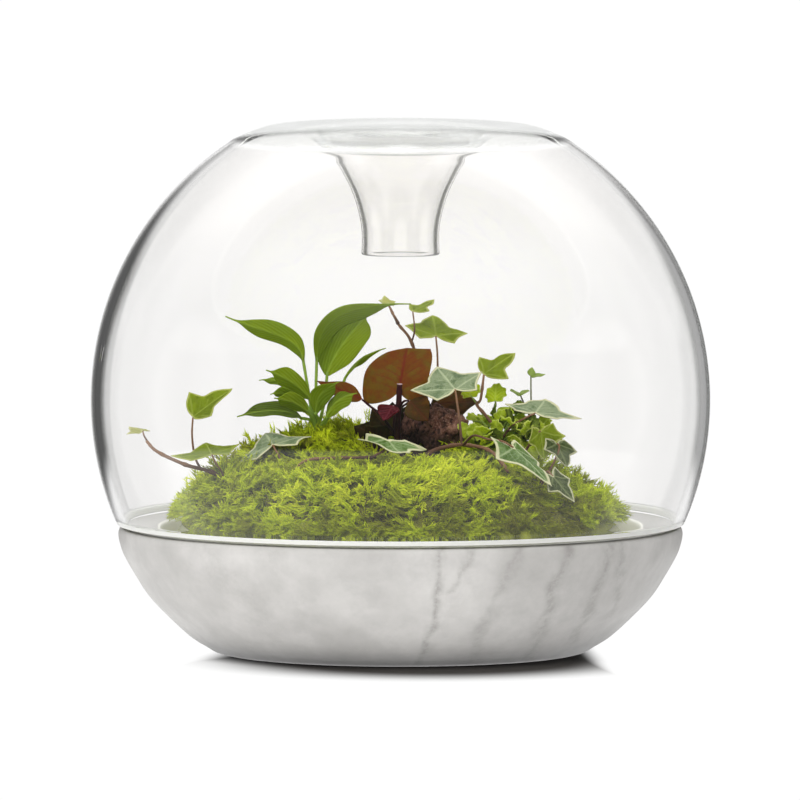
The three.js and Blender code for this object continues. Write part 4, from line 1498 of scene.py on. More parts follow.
    def _add_copies(self, draft: Draft, shoot: Shoot, root: np.ndarray, axes: np.ndarray,
                    sunk: np.ndarray, tone: np.ndarray) -> None:
        """Add copies of one kind of shoot, with painted shade deep in the moss and painted light near its
        edge.

        Args:
            draft: the draft that takes them.
            shoot: the kind.
            root: where each copy is rooted.
            axes: the directions of its length, side and upper face, with its size.
            sunk: how far its root is over the moss's own height.
            tone: how bright it is, with painted shade in places.
        """
        many, size = len(root), len(shoot.points)
        points = (np.einsum("pk,nkd->npd", shoot.points, axes) + root[:, None]).reshape(-1, 3)
        shift = (np.arange(many) * size)[:, None, None]
        faces = [(face[None] + shift).reshape(-1, face.shape[1]) for face in shoot.faces]
        # Painted shade and light: points deep in the moss get less of the tip colour, points near the edge
        # more.
        high = points[:, 2] - self.mound.moss(points[:, 0], points[:, 1])
        lit = (high - np.repeat(sunk, size) - 0.2) / 4.0
        lit = np.clip(lit + np.clip((np.hypot(*points[:, :2].T) - 99) / 6, 0, 1), 0, 1)
        tip = np.tile(shoot.tip, many) * (0.15 + 0.85 * lit)
        draft.add((points, faces), tip=tip, tone=np.repeat(tone, size))

    def _bed(self, pad: Pad, finish: bpy.types.Material) -> None:
        """Make the dense old moss under a pad's shoots.

        Args:
            pad: the pad.
            finish: its material.
        """
        angle = np.radians(np.linspace(pad.start + self.joint, pad.end - self.joint, 120))[None]
        ray = np.stack([np.cos(angle), np.sin(angle)])
        centre = np.array(self.mound.pocket)[:, None, None]
        half = np.array(self.mound.pocket_half)[:, None, None]
        inner = 0.97 / np.sqrt(((ray / half) ** 2).sum(0))
        beside = (ray * centre).sum(0)
        outer = np.sqrt(beside**2 - (centre**2).sum() + (self.mound.reach(angle) - 1.5) ** 2) - beside
        part = np.linspace(0, 1, 70)[:, None]
        away = inner + (outer - inner) * part
        x, y = centre + ray * away
        flat = level_points(x, y)
        edge = np.minimum(1, 14 * np.minimum(part, 1 - part)) ** 0.5
        relief = sum(layer.at(flat) for layer in self.bed_relief)
        low = self.mound.soil(x, y) + 0.4
        press = self._pressing(x, y)
        lift = self.mound.moss(x, y) - 2.4 + relief * (1 - 0.6 * press) - press - low
        high = np.maximum(low + 0.8, low + lift * edge)
        draft = Draft()
        draft.add(slab(np.stack([x, y, high], -1), np.stack([x, y, low], -1)))
        draft.piece(f"{pad.node}_bed", finish, "moss", pad.node)

    @staticmethod
    def _strand_finish() -> bpy.types.Material:
        """Living moss: olive in the depth, partly as painted shade, lime at the tips, and it lets some
        light through.

        Returns:
            The material.
        """
        paint = Paint("moss shoots")
        tone = paint.mark("tone") + 0.3 * paint.grain(4, 2) - 0.15
        young = paint.ramp(tone, (0.0, (0.2, 0.17, 0.03)), (0.3, (0.4, 0.42, 0.025)),
                           (0.55, (0.64, 0.72, 0.02)), (0.8, (0.85, 0.92, 0.03)),
                           (1.0, (0.95, 0.96, 0.06)))
        old = paint.ramp(tone, (0.0, (0.05, 0.035, 0.015)), (0.6, (0.11, 0.12, 0.012)),
                         (1.0, (0.2, 0.24, 0.015)))
        colour = paint.blend(paint.mark("tip").between(0.05, 0.42), old, young)
        paint.set(Base_Color=colour, Roughness=0.62, Specular_IOR_Level=0.2)
        paint.glow_through(0.46, (0.8, 0.92, 0.03))
        return paint.finished()

    @staticmethod
    def _bed_finish() -> bpy.types.Material:
        """Shaded moss below the shoots, with painted light that makes it paler near its edge.

        Returns:
            The material.
        """
        paint = Paint("moss bed")
        fine = paint.grain(1.5, 4, 0.7)
        body = paint.ramp(fine, (0.3, (0.04, 0.035, 0.008)), (0.5, (0.11, 0.11, 0.014)),
                          (0.7, (0.24, 0.26, 0.02)))
        # Painted light: the bed near the edge is made paler.
        body = paint.blend(paint.out().between(0.1, 0.107) * 0.8, body, (0.42, 0.46, 0.04))
        paint.set(Base_Color=body, Roughness=0.9, Normal=paint.bump(fine, 0.8))
        return paint.finished()


@dataclass(frozen=True)
class LavaStone:
    """A rough porous stone, half buried."""

    node: str
    at: Triple
    size: Triple
    seed: float
    level: int = 6

    def build(self) -> None:
        """Make the stone."""
        points, faces = ball(self.level)
        lumps = 0.17 * wander(points, 0.8, self.seed) + 0.1 * wander(points, 0.33, self.seed)
        ridges = 0.035 * np.abs(wander(points, 0.14, self.seed)) + 0.02 * wander(points, 0.07, self.seed)
        hole = wander(points, 0.17, self.seed + 5)
        pits = 0.13 * np.clip((hole - 0.35) / 0.4, 0, 1)
        shaped = points * (1 + lumps + ridges - pits)[:, None] * self.size + self.at
        draft = Draft(("pit",))
        draft.add((shaped, [faces]), pit=np.clip((hole - 0.25) / 0.35, 0, 1))
        draft.piece(f"{self.node}_rough", self._lava(), "lava_rock", self.node)

    @staticmethod
    def _lava() -> bpy.types.Material:
        """Reddish-brown lava, with painted shade in its pores and on its lower part.

        Returns:
            The material.
        """
        paint = Paint("lava")
        wide, fine = paint.grain(5, 4, 0.6), paint.grain(0.9, 4, 0.7)
        body = paint.ramp(wide, (0.3, (0.03, 0.014, 0.01)), (0.48, (0.13, 0.055, 0.038)),
                          (0.66, (0.34, 0.17, 0.12)))
        body = paint.blend(fine.between(0.5, 0.68) * 0.6, body, (0.5, 0.3, 0.24))
        # Painted shade: the stone turns near black towards the bottom.
        low = paint.axis(paint.place(), "Z").between(0.112, 0.102)
        body = paint.blend(low * 0.7, body, (0.012, 0.008, 0.006))
        # Painted shade in the pores.
        body = paint.blend(paint.mark("pit") * 0.85, body, (0.02, 0.013, 0.012))
        paint.set(Base_Color=body, Roughness=0.9, Normal=paint.bump(fine, 0.9))
        return paint.finished()


# ---- Leaves ----


class LeafForm(Enum):
    """Half outlines of a blade: along the midrib, 0 at the stalk and 1 at the tip, and across it."""

    IVY = ((0, 0), (-0.13, 0.2), (-0.2, 0.58), (-0.02, 0.68), (0.1, 0.78), (0.32, 1.04), (0.42, 0.76),
           (0.5, 0.5), (0.66, 0.4), (0.84, 0.22), (1, 0))
    WEDGE = ((0, 0), (0.02, 0.34), (0.14, 0.72), (0.32, 1.04), (0.4, 0.74), (0.48, 0.48), (0.66, 0.4),
             (0.84, 0.22), (1, 0))
    ROUND = ((-0.1, 0), (-0.28, 0.3), (-0.32, 0.8), (-0.1, 1), (0.35, 1.03), (0.66, 0.9), (0.92, 0.56),
             (1, 0))
    OVAL = ((0, 0), (0.08, 0.5), (0.25, 0.92), (0.45, 1), (0.68, 0.72), (0.86, 0.34), (1, 0))
    SQUARE = ((-0.1, 0), (-0.3, 0.4), (-0.3, 0.9), (-0.04, 1.02), (0.4, 1.04), (0.76, 1), (0.96, 0.88),
              (0.98, 0.5), (1, 0))
    SCALLOPED = ((0, 0), (0, 0.7), (0.2, 0.8), (0.32, 1.06), (0.5, 0.9), (0.74, 0.86), (0.82, 0.52),
                 (1, 0.28), (0.96, 0))

    @property
    def sharp(self) -> tuple[int, ...]:
        """Numbers of the outline's points that are sharp, besides its ends."""
        return {"IVY": (2, 5), "WEDGE": (3,), "SQUARE": (6,)}.get(self.name, ())

    @property
    def veins(self) -> tuple[tuple[Pair, Pair, float], ...]:
        """Main veins on one side.

        Returns:
            Where each starts and ends, and how strong it is.
        """
        tip = ((0, 0), (0.97, 0), 1.0)
        if self in (LeafForm.IVY, LeafForm.WEDGE):
            low = () if self is LeafForm.WEDGE else (((0, 0), (-0.13, 0.46), 0.7),)
            return (tip, ((0, 0), (0.28, 0.92), 0.9), *low, ((0.3, 0), (0.5, 0.24), 0.5),
                    ((0.5, 0), (0.68, 0.2), 0.45), ((0.16, 0.4), (0.36, 0.5), 0.4),
                    ((0.12, 0), (0.36, 0.4), 0.4))
        start, count = (-0.08, 6) if self in (LeafForm.ROUND, LeafForm.SQUARE) else (0.05, 5)
        steps = np.linspace(start, 0.75, count)
        return (tip, *(((s, 0), (min(0.92, s + 0.3), 0.8 - 0.5 * max(0, s)), 0.6) for s in steps))


@dataclass(frozen=True)
class Blade:
    """A blade: its joint with the stalk, its way to the tip, its half-width and how it bends."""

    node: str
    at: Triple
    along: Triple
    half: Triple
    near: float = 1.0
    fold: float = 0.0
    curl: float = 0.0
    form: LeafForm = LeafForm.IVY
    wave: float = 0.5
    thick: float = 0.4
    near_form: LeafForm | None = None
    rings: int = 18
    heart: float = 0.22
    groove: float = 0.22
    vein_half: float = 0.42

    marks = ("margin", "vein", "along", "across")

    def add_to(self, draft: Draft, **values: float) -> None:
        """Add the blade's body to a draft.

        Args:
            draft: it has at least the blade's own marks.
            values: numbers for the draft's other marks.
        """
        outline = self._outline()
        heart = np.array([self.heart, 0.0])
        rings = np.linspace(1, 0, self.rings + 1)[:-1, None, None] ** 0.85
        flat = np.vstack([(heart + (outline[None] - heart) * rings).reshape(-1, 2), heart])
        around = len(outline)
        points, normals = self._place(flat)
        faces = grid_faces(len(rings), around, True)
        last, here = (len(rings) - 1) * around, np.arange(around)
        fan = np.stack([last + here, last + (here + 1) % around, np.full(around, len(flat) - 1)], -1)
        upper = points + normals * self.thick / 2
        lower = points - normals * self.thick / 2
        count = len(points)
        sheets = [faces, fan, faces[:, ::-1] + count, fan[:, ::-1] + count]
        body = (np.vstack([upper, lower]), [*sheets, edge_faces(here, count)])
        scale = np.array([np.linalg.norm(self.along), np.linalg.norm(self.half)])
        loop = np.vstack([outline, outline[:1]]) * scale
        margin = distance_to_way(flat * scale, loop)
        vein = self._veins(flat, scale)
        own = {"margin": margin, "vein": vein, "along": flat[:, 0], "across": flat[:, 1]}
        draft.add(outward(body), **{name: np.tile(value, 2) for name, value in own.items()}, **values)

    def _outline(self) -> np.ndarray:
        """The whole outline, smooth between its sharp points, without repeating its first point."""
        right, left = (self._side(form) for form in (self.form, self.near_form or self.form))
        return np.vstack([right, left[-2:0:-1] * (1, -1)])

    @staticmethod
    def _side(form: LeafForm) -> np.ndarray:
        """One side of a form's outline.

        Args:
            form: the form.

        Returns:
            Places from the stalk to the tip.
        """
        half = form.value
        corners = [0, *form.sharp, len(half) - 1]
        pieces = [smooth_way(half[a : b + 1], 7)[:-1] for a, b in zip(corners, corners[1:])]
        return np.vstack([*pieces, half[-1:]])

    def _place(self, flat: np.ndarray) -> tuple[np.ndarray, np.ndarray]:
        """Bend flat places into the blade's form.

        Args:
            flat: places along and across the blade.

        Returns:
            Their points, and the normals there.
        """
        at, along, half = (np.array(value, float) for value in (self.at, self.along, self.half))
        up = unit(np.cross(along, half))
        long, wide = np.linalg.norm(along), np.linalg.norm(half)

        def bent(u: np.ndarray, v: np.ndarray) -> np.ndarray:
            """Points of the blade's middle layer.

            Args:
                u: places along the blade.
                v: places across it.

            Returns:
                One point for each place.
            """
            side = np.where(v < 0, v * self.near, v)
            rim = np.clip(np.hypot(u - self.heart, v) * 1.3, 0, 1.4)
            ripple = self.wave * rim**2 * np.sin(4.4 * np.arctan2(v, u - self.heart) + long)
            ripple += 0.5 * self.wave * rim * np.sin(7.3 * u + 5.1 * v + wide)
            rise = self.fold * np.sqrt(v**2 + 0.004) - self.curl * u**2 + ripple
            return at + along * u[:, None] + half * side[:, None] + up * rise[:, None]

        u, v = flat.T
        step = 0.02
        across_u = bent(u + step, v) - bent(u - step, v)
        across_v = bent(u, v + step) - bent(u, v - step)
        normals = unit(np.cross(across_u, across_v))
        groove = self.groove * self._veins(flat, np.array([long, wide]))
        return bent(u, v) - normals * groove[:, None], normals

    def _veins(self, flat: np.ndarray, scale: np.ndarray) -> np.ndarray:
        """How near each place is to a vein.

        Args:
            flat: places along and across the blade.
            scale: the blade's length and half-width, in millimetres.

        Returns:
            A number from 0 to 1 for each place.
        """
        best = np.zeros(len(flat))
        mirrored = np.abs(flat) * (0, 1) + flat * (1, 0)
        for start, end, strength in self.form.veins:
            middle = (np.array(start) + end) / 2 + (0.03, 0.01)
            away = distance_to_way(mirrored * scale, smooth_way([start, middle, end], 5) * scale)
            best = np.maximum(best, strength * np.exp(-((away / self.vein_half) ** 2)))
        return best


@dataclass(frozen=True)
class LeafFinish:
    """How a leaf is coloured: face, veins, margin, and the light that comes through it."""

    name: str
    face: Colour
    patch: Colour
    vein: Colour
    margin: Colour
    through: Colour
    margin_width: float = 0.0
    patch_share: float = 0.5
    glow: float = 0.5
    gloss: float = 0.38
    puckered: float = 0.25

    def material(self) -> bpy.types.Material:
        """Make the material.

        Returns:
            The material.
        """
        paint = Paint(self.name)
        wide, fine = paint.grain(6, 3, 0.6), paint.grain(1.1, 3, 0.6)
        patch = wide.between(0.62 - 0.4 * self.patch_share, 0.72 - 0.3 * self.patch_share)
        body = paint.blend(patch, self.face, self.patch)
        body = paint.blend(fine.between(0.35, 0.8) * 0.25, body, self.through)
        body = paint.blend(paint.cells(2.0).between(0.07, 0.0) * 0.4, body, self.vein)
        body = paint.blend(paint.mark("vein").between(0.1, 0.75) * 0.85, body, self.vein)
        if self.margin_width:
            away = paint.mark("margin") + 1.6 * (wide - 0.5) + 0.7 * (fine - 0.5)
            edge = away.between(self.margin_width * 1.15, self.margin_width * 0.75)
            body = paint.blend(edge, body, self.margin)
        rough = self.gloss + 0.2 * fine
        relief = paint.bump(fine, self.puckered, 0.6)
        paint.set(Base_Color=body, Roughness=rough, Normal=relief, Specular_IOR_Level=0.25)
        paint.glow_through(self.glow, self.through)
        return paint.finished()


CREAM = (0.8, 0.78, 0.5)
GREEN_IVY = LeafFinish("green ivy", (0.15, 0.21, 0.01), (0.23, 0.31, 0.014), (0.42, 0.5, 0.08),
                       (0.62, 0.64, 0.2), (0.48, 0.56, 0.008), 0.7, 0.45, 0.55)
YOUNG_IVY = LeafFinish("young ivy", (0.36, 0.38, 0.06), (0.5, 0.5, 0.12), (0.6, 0.6, 0.2),
                       (0.7, 0.7, 0.34), (0.62, 0.64, 0.08), 0.7, 0.5, 0.5)
CREAM_IVY = LeafFinish("cream-edged ivy", (0.07, 0.15, 0.02), (0.17, 0.27, 0.09), (0.45, 0.55, 0.28),
                       CREAM, (0.25, 0.38, 0.05), 1.5, 0.45, 0.35)
GREY_IVY = LeafFinish("grey ivy", (0.1, 0.155, 0.075), (0.24, 0.3, 0.17), (0.46, 0.52, 0.32),
                      (0.68, 0.66, 0.42), (0.22, 0.3, 0.06), 1.0, 0.6, 0.25)
# Painted shade: the shaded ivy finish is dark because those leaves stand in shade.
DARK_IVY = LeafFinish("shaded ivy", (0.035, 0.055, 0.012), (0.07, 0.095, 0.03), (0.2, 0.24, 0.1),
                      (0.5, 0.5, 0.3), (0.1, 0.14, 0.015), 0.7, 0.4, 0.25)
BRIGHT_LEAF = LeafFinish("bright small leaf", (0.26, 0.36, 0.01), (0.5, 0.6, 0.016), (0.62, 0.7, 0.1),
                         (0.7, 0.74, 0.2), (0.7, 0.82, 0.008), 0.35, 0.5, 0.55)
# Painted shade: a darker copy of the bright small leaf.
SMALL_SHADED = LeafFinish("shaded small leaf", (0.05, 0.08, 0.006), (0.12, 0.17, 0.01),
                          (0.25, 0.32, 0.05), CREAM, (0.2, 0.28, 0.01), 0.0, 0.5, 0.4)
SEEDLING_LEAF = LeafFinish("seedling leaf", (0.2, 0.3, 0.04), (0.28, 0.36, 0.07), (0.4, 0.5, 0.15), CREAM,
                           (0.38, 0.5, 0.04), 0.0, 0.4, 0.45)
OLIVE_RED = LeafFinish("olive-brown leaf", (0.19, 0.06, 0.008), (0.15, 0.115, 0.01), (0.2, 0.01, 0.012),
                       CREAM, (0.46, 0.22, 0.012), 0.0, 0.45, 0.5, 0.5, 0.8)
# Painted shade: near-black leaves for the shade under the red plant.
SHADED_LEAF = LeafFinish("shaded leaf", (0.022, 0.014, 0.004), (0.03, 0.03, 0.006), (0.06, 0.03, 0.01),
                         CREAM, (0.06, 0.05, 0.006), 0.0, 0.5, 0.3, 0.6, 0.4)
ORANGE_LEAF = LeafFinish("orange-brown leaf", (0.05, 0.034, 0.006), (0.17, 0.07, 0.012),
                         (0.12, 0.03, 0.012), CREAM, (0.2, 0.12, 0.008), 0.0, 0.35, 0.4, 0.5, 0.6)
YOUNG_RED = LeafFinish("young red leaf", (0.045, 0.003, 0.007), (0.12, 0.008, 0.016), (0.15, 0.02, 0.03),
                       CREAM, (0.22, 0.005, 0.014), 0.0, 0.4, 0.25, 0.25)


@dataclass(frozen=True)
class StalkFinish:
    """How a stalk is coloured, from its foot to its end, and how woody it is."""

    name: str
    foot: Colour
    end: Colour
    gloss: float = 0.45
    bark: float = 0.1
    cut: Colour | None = None

    def material(self) -> bpy.types.Material:
        """Make the material.

        Returns:
            The material.
        """
        paint = Paint(self.name)
        fine = paint.grain(0.9, 4, 0.65)
        body = paint.blend(paint.mark("along").between(0.0, 1.0), self.foot, self.end)
        dark = paint.blend(0.5, body, tuple(value * 0.4 for value in self.foot))
        body = paint.blend(fine.between(0.4, 0.75) * 0.7, body, dark)
        if self.cut:
            body = paint.blend(paint.mark("along").between(0.985, 0.995), body, self.cut)
        paint.set(Base_Color=body, Roughness=self.gloss + 0.2 * fine, Normal=paint.bump(fine, self.bark))
        paint.set(Specular_IOR_Level=0.25)
        return paint.finished()


@dataclass(frozen=True)
class Stalk:
    """A stalk or stem along a smooth way, thinner towards its end."""

    radius: float
    way: tuple[Triple, ...]
    taper: float = 0.3
    knots: int = 0
    sides: int = 12

    marks = ("along",)

    def add_to(self, draft: Draft, **values: float) -> None:
        """Add the stalk's body to a draft.

        Args:
            draft: it has at least the stalk's own mark.
            values: numbers for the draft's other marks; they are 0 otherwise.
        """
        line = smooth_way(self.way, 9)
        part = np.linspace(0, 1, len(line))
        radii = self.radius * (1 - self.taper * part)
        radii = radii * (1 + 0.08 * wander(line, 2.4, self.radius))
        if self.knots:
            swell = np.abs(np.sin(part * math.pi * self.knots)) ** 18
            radii = radii * (1 + 0.35 * swell)
        own = {name: values.get(name, 0.0) for name in draft.marks}
        own["along"] = np.concatenate([np.repeat(part, self.sides), part[:1], part[-1:]])
        draft.add(outward(tube(line, radii, self.sides)), **own)


def grown(parts: "Sequence[Blade | Stalk]") -> Draft:
    """Gather blades, or else stalks, in one draft.

    Args:
        parts: the blades or the stalks.

    Returns:
        The draft.
    """
    draft = Draft(parts[0].marks)
    for part in parts:
        part.add_to(draft)
    return draft


# ---- Peace lily ----


@dataclass(frozen=True)
class LilyLeaf:
    """A lance-shaped leaf: its stalk, its midrib's four control points and its half-width."""

    stalk: Triple
    rib: tuple[Triple, Triple, Triple, Triple]
    half: Triple
    tone: float = 0.5
    wave: float = 0.5


@dataclass
class PeaceLily:
    """The tuft of lance-shaped leaves left of the middle."""

    crown: Triple = (-41, 5, 107)
    root: tuple[Triple, ...] = ((-41, 5, 88), (-41, 5, 98), (-41, 5, 107))
    stalk_radius: float = 0.85
    seat: float = 4.0
    fold: float = 0.22
    rows: int = 64
    columns: int = 19
    widths: tuple[float, ...] = (0.12, 0.5, 0.82, 0.96, 1.02, 1.03, 0.96, 0.64, 0.12, 0.03)
    leaves: tuple[LilyLeaf, ...] = (
        LilyLeaf((-44, 4, 122), ((-47, 4, 140), (-48, 2, 154), (-66, -4, 154), (-84.5, -8, 163)),
                 (2.6, -3, 4.2), 0.55),
        LilyLeaf((-41, 6, 125), ((-40.6, 6, 140), (-42, 6, 160), (-28, 5, 169), (5, 1, 168)),
                 (-4, -6, 3.5), 0.5),
        LilyLeaf((-37, 8, 120), ((-35.6, 9, 133), (-33, 12, 143), (-24, 12, 154), (-14.5, 9, 164)),
                 (9, -2, -1.5), 0.6),
        LilyLeaf((-32, 10, 118), ((-27, 12, 131), (-22, 13, 140), (-17, 14, 143), (-7, 15, 145.5)),
                 (1.2, -3.2, 2), 0.4),
        LilyLeaf((-42, 3, 115), ((-43.5, 2, 122), (-49, -1, 129), (-56, -4, 133.5), (-65, -8, 137)),
                 (2, -2, 4.4), 0.6),
        LilyLeaf((-45, 5, 118), ((-52, 8, 125), (-57, 9, 130), (-62, 8, 132), (-68.5, 6, 130.5)),
                 (0.4, 1.8, 1.2), 0.4),
        LilyLeaf((-43, 2, 114), ((-49, -3, 120), (-53, -6, 124), (-58, -9, 127), (-63, -12, 125.5)),
                 (1.4, -2.2, 2.6), 0.35),
        LilyLeaf((-42, 1, 112), ((-45, -5, 116.5), (-49, -9, 121), (-55, -13, 123), (-61, -16, 124)),
                 (2.4, -2, 3.4), 0.6),
        LilyLeaf((-43, 3, 111), ((-48, -1, 113), (-55, -4, 118), (-67, -7, 117.5), (-79, -10, 114.5)),
                 (1, -5.5, -3), 0.05),
        LilyLeaf((-40, 2, 112), ((-41, -3, 115), (-42, -5, 124), (-37, -6, 128), (-29.5, -7, 131)),
                 (-4, -1.6, 2.4), 0.5),
        LilyLeaf((-38, 2, 110), ((-36, -3, 113), (-33, -6, 121), (-28, -8, 124.5), (-21, -10, 125.5)),
                 (2, -3, -3), 0.55),
    )

    def build(self) -> None:
        """Make the plant."""
        draft = Draft(("along", "across", "stalk", "tone"))
        Stalk(2.4, self.root, 0.2).add_to(draft, stalk=1.0, tone=0.6)
        x, y, z = self.crown
        for leaf in self.leaves:
            start = np.array(leaf.rib[0])
            into = start + (np.array(leaf.rib[1]) - start) * 0.12
            way = ((x, y, z - self.seat), leaf.stalk, leaf.rib[0], tuple(into))
            Stalk(self.stalk_radius, way, 0.25).add_to(draft, stalk=1.0, tone=0.7)
            self._add_blade(draft, leaf)
        draft.piece("peace_lily_leaves", self._finish(), "lily_leaf", "peace_lily")

    def _add_blade(self, draft: Draft, leaf: LilyLeaf) -> None:
        """Add a leaf's blade.

        Args:
            draft: the draft that takes it.
            leaf: the leaf.
        """
        part = np.linspace(0, 1, self.rows)[:, None]
        a, b, c, d = (np.array(point, float) for point in leaf.rib)
        rest = 1 - part
        middle = a * rest**3 + 3 * b * part * rest**2 + 3 * c * part**2 * rest + d * part**3
        tangent = unit(np.gradient(middle, axis=0))
        across = np.array(leaf.half, float)
        size = np.linalg.norm(across)
        normal = unit(np.cross(tangent, across))
        knots = np.array([(i / (len(self.widths) - 1), w) for i, w in enumerate(self.widths)])
        wide = smooth_way(knots, 12)
        width = np.interp(part[:, 0], wide[:, 0], wide[:, 1])
        v = np.linspace(-1, 1, self.columns)[None]
        w = width[:, None]
        ripple = leaf.wave * v**2 * w * np.sin(11 * part + 2.1 * np.sign(v) + size)
        rise = self.fold * w * size * np.sqrt(v**2 + 0.01) + ripple
        points = middle[:, None] + across * (v * w)[..., None] + normal[:, None] * rise[..., None]
        face = unit(np.cross(np.gradient(points, axis=0), np.gradient(points, axis=1)))
        groove = 0.3 * np.exp(-((v * w * size / 0.5) ** 2))
        points = points - face * groove[..., None]
        half = face * (0.2 + 0.25 * np.exp(-((v * w * size / 0.7) ** 2)) * (1 - part))[..., None]
        marks = {"along": part * np.linalg.norm(d - a), "across": v * w * size}
        values = {name: np.tile(np.broadcast_to(x, rise.shape).ravel(), 2) for name, x in marks.items()}
        draft.add(slab(points + half, points - half), **values, stalk=0.0, tone=leaf.tone)

    @staticmethod
    def _finish() -> bpy.types.Material:
        """Glossy green leaf with a pale midrib and fine side veins that lean to the tip; painted light
        makes one half of each blade lighter than the other.

        Returns:
            The material.
        """
        paint = Paint("peace lily leaf")
        side = abs(paint.mark("across"))
        along, tone, stalk = paint.mark("along"), paint.mark("tone"), paint.mark("stalk")
        wide, fine = paint.grain(9, 3, 0.6), paint.grain(1.2, 3, 0.6)
        lines = 0.5 + 0.5 * (0.9 * along - 4.4 * side + 2.0 * wide).sine()
        # Painted light: one half of each blade, across the midrib, is made lighter than the other.
        tone = tone + 0.3 * (wide - 0.5) + 0.22 * (paint.mark("across").between(-0.6, 0.6) - 0.5)
        face = paint.ramp(tone, (0.0, (0.04, 0.07, 0.006)), (0.35, (0.1, 0.165, 0.008)),
                          (0.6, (0.18, 0.27, 0.01)), (1.0, (0.4, 0.47, 0.012)))
        pale = paint.blend(0.5, face, (0.5, 0.66, 0.1))
        body = paint.blend(lines.between(0.6, 1.0) * 0.6, face, pale)
        body = paint.blend(side.between(0.75, 0.2) * 0.85, body, pale)
        body = paint.blend(stalk * 0.85, body, (0.33, 0.5, 0.1))
        relief = paint.bump(lines, 0.25, 0.9)
        paint.set(Base_Color=body, Roughness=0.36 + 0.15 * fine, Normal=relief, Specular_IOR_Level=0.22)
        paint.glow_through(0.5, (0.48, 0.58, 0.004))
        return paint.finished()


# ---- Ivy ----


@dataclass(frozen=True)
class Stem:
    """A woody ivy stem with its side stalks."""

    node: str
    stalks: tuple[Stalk, ...]


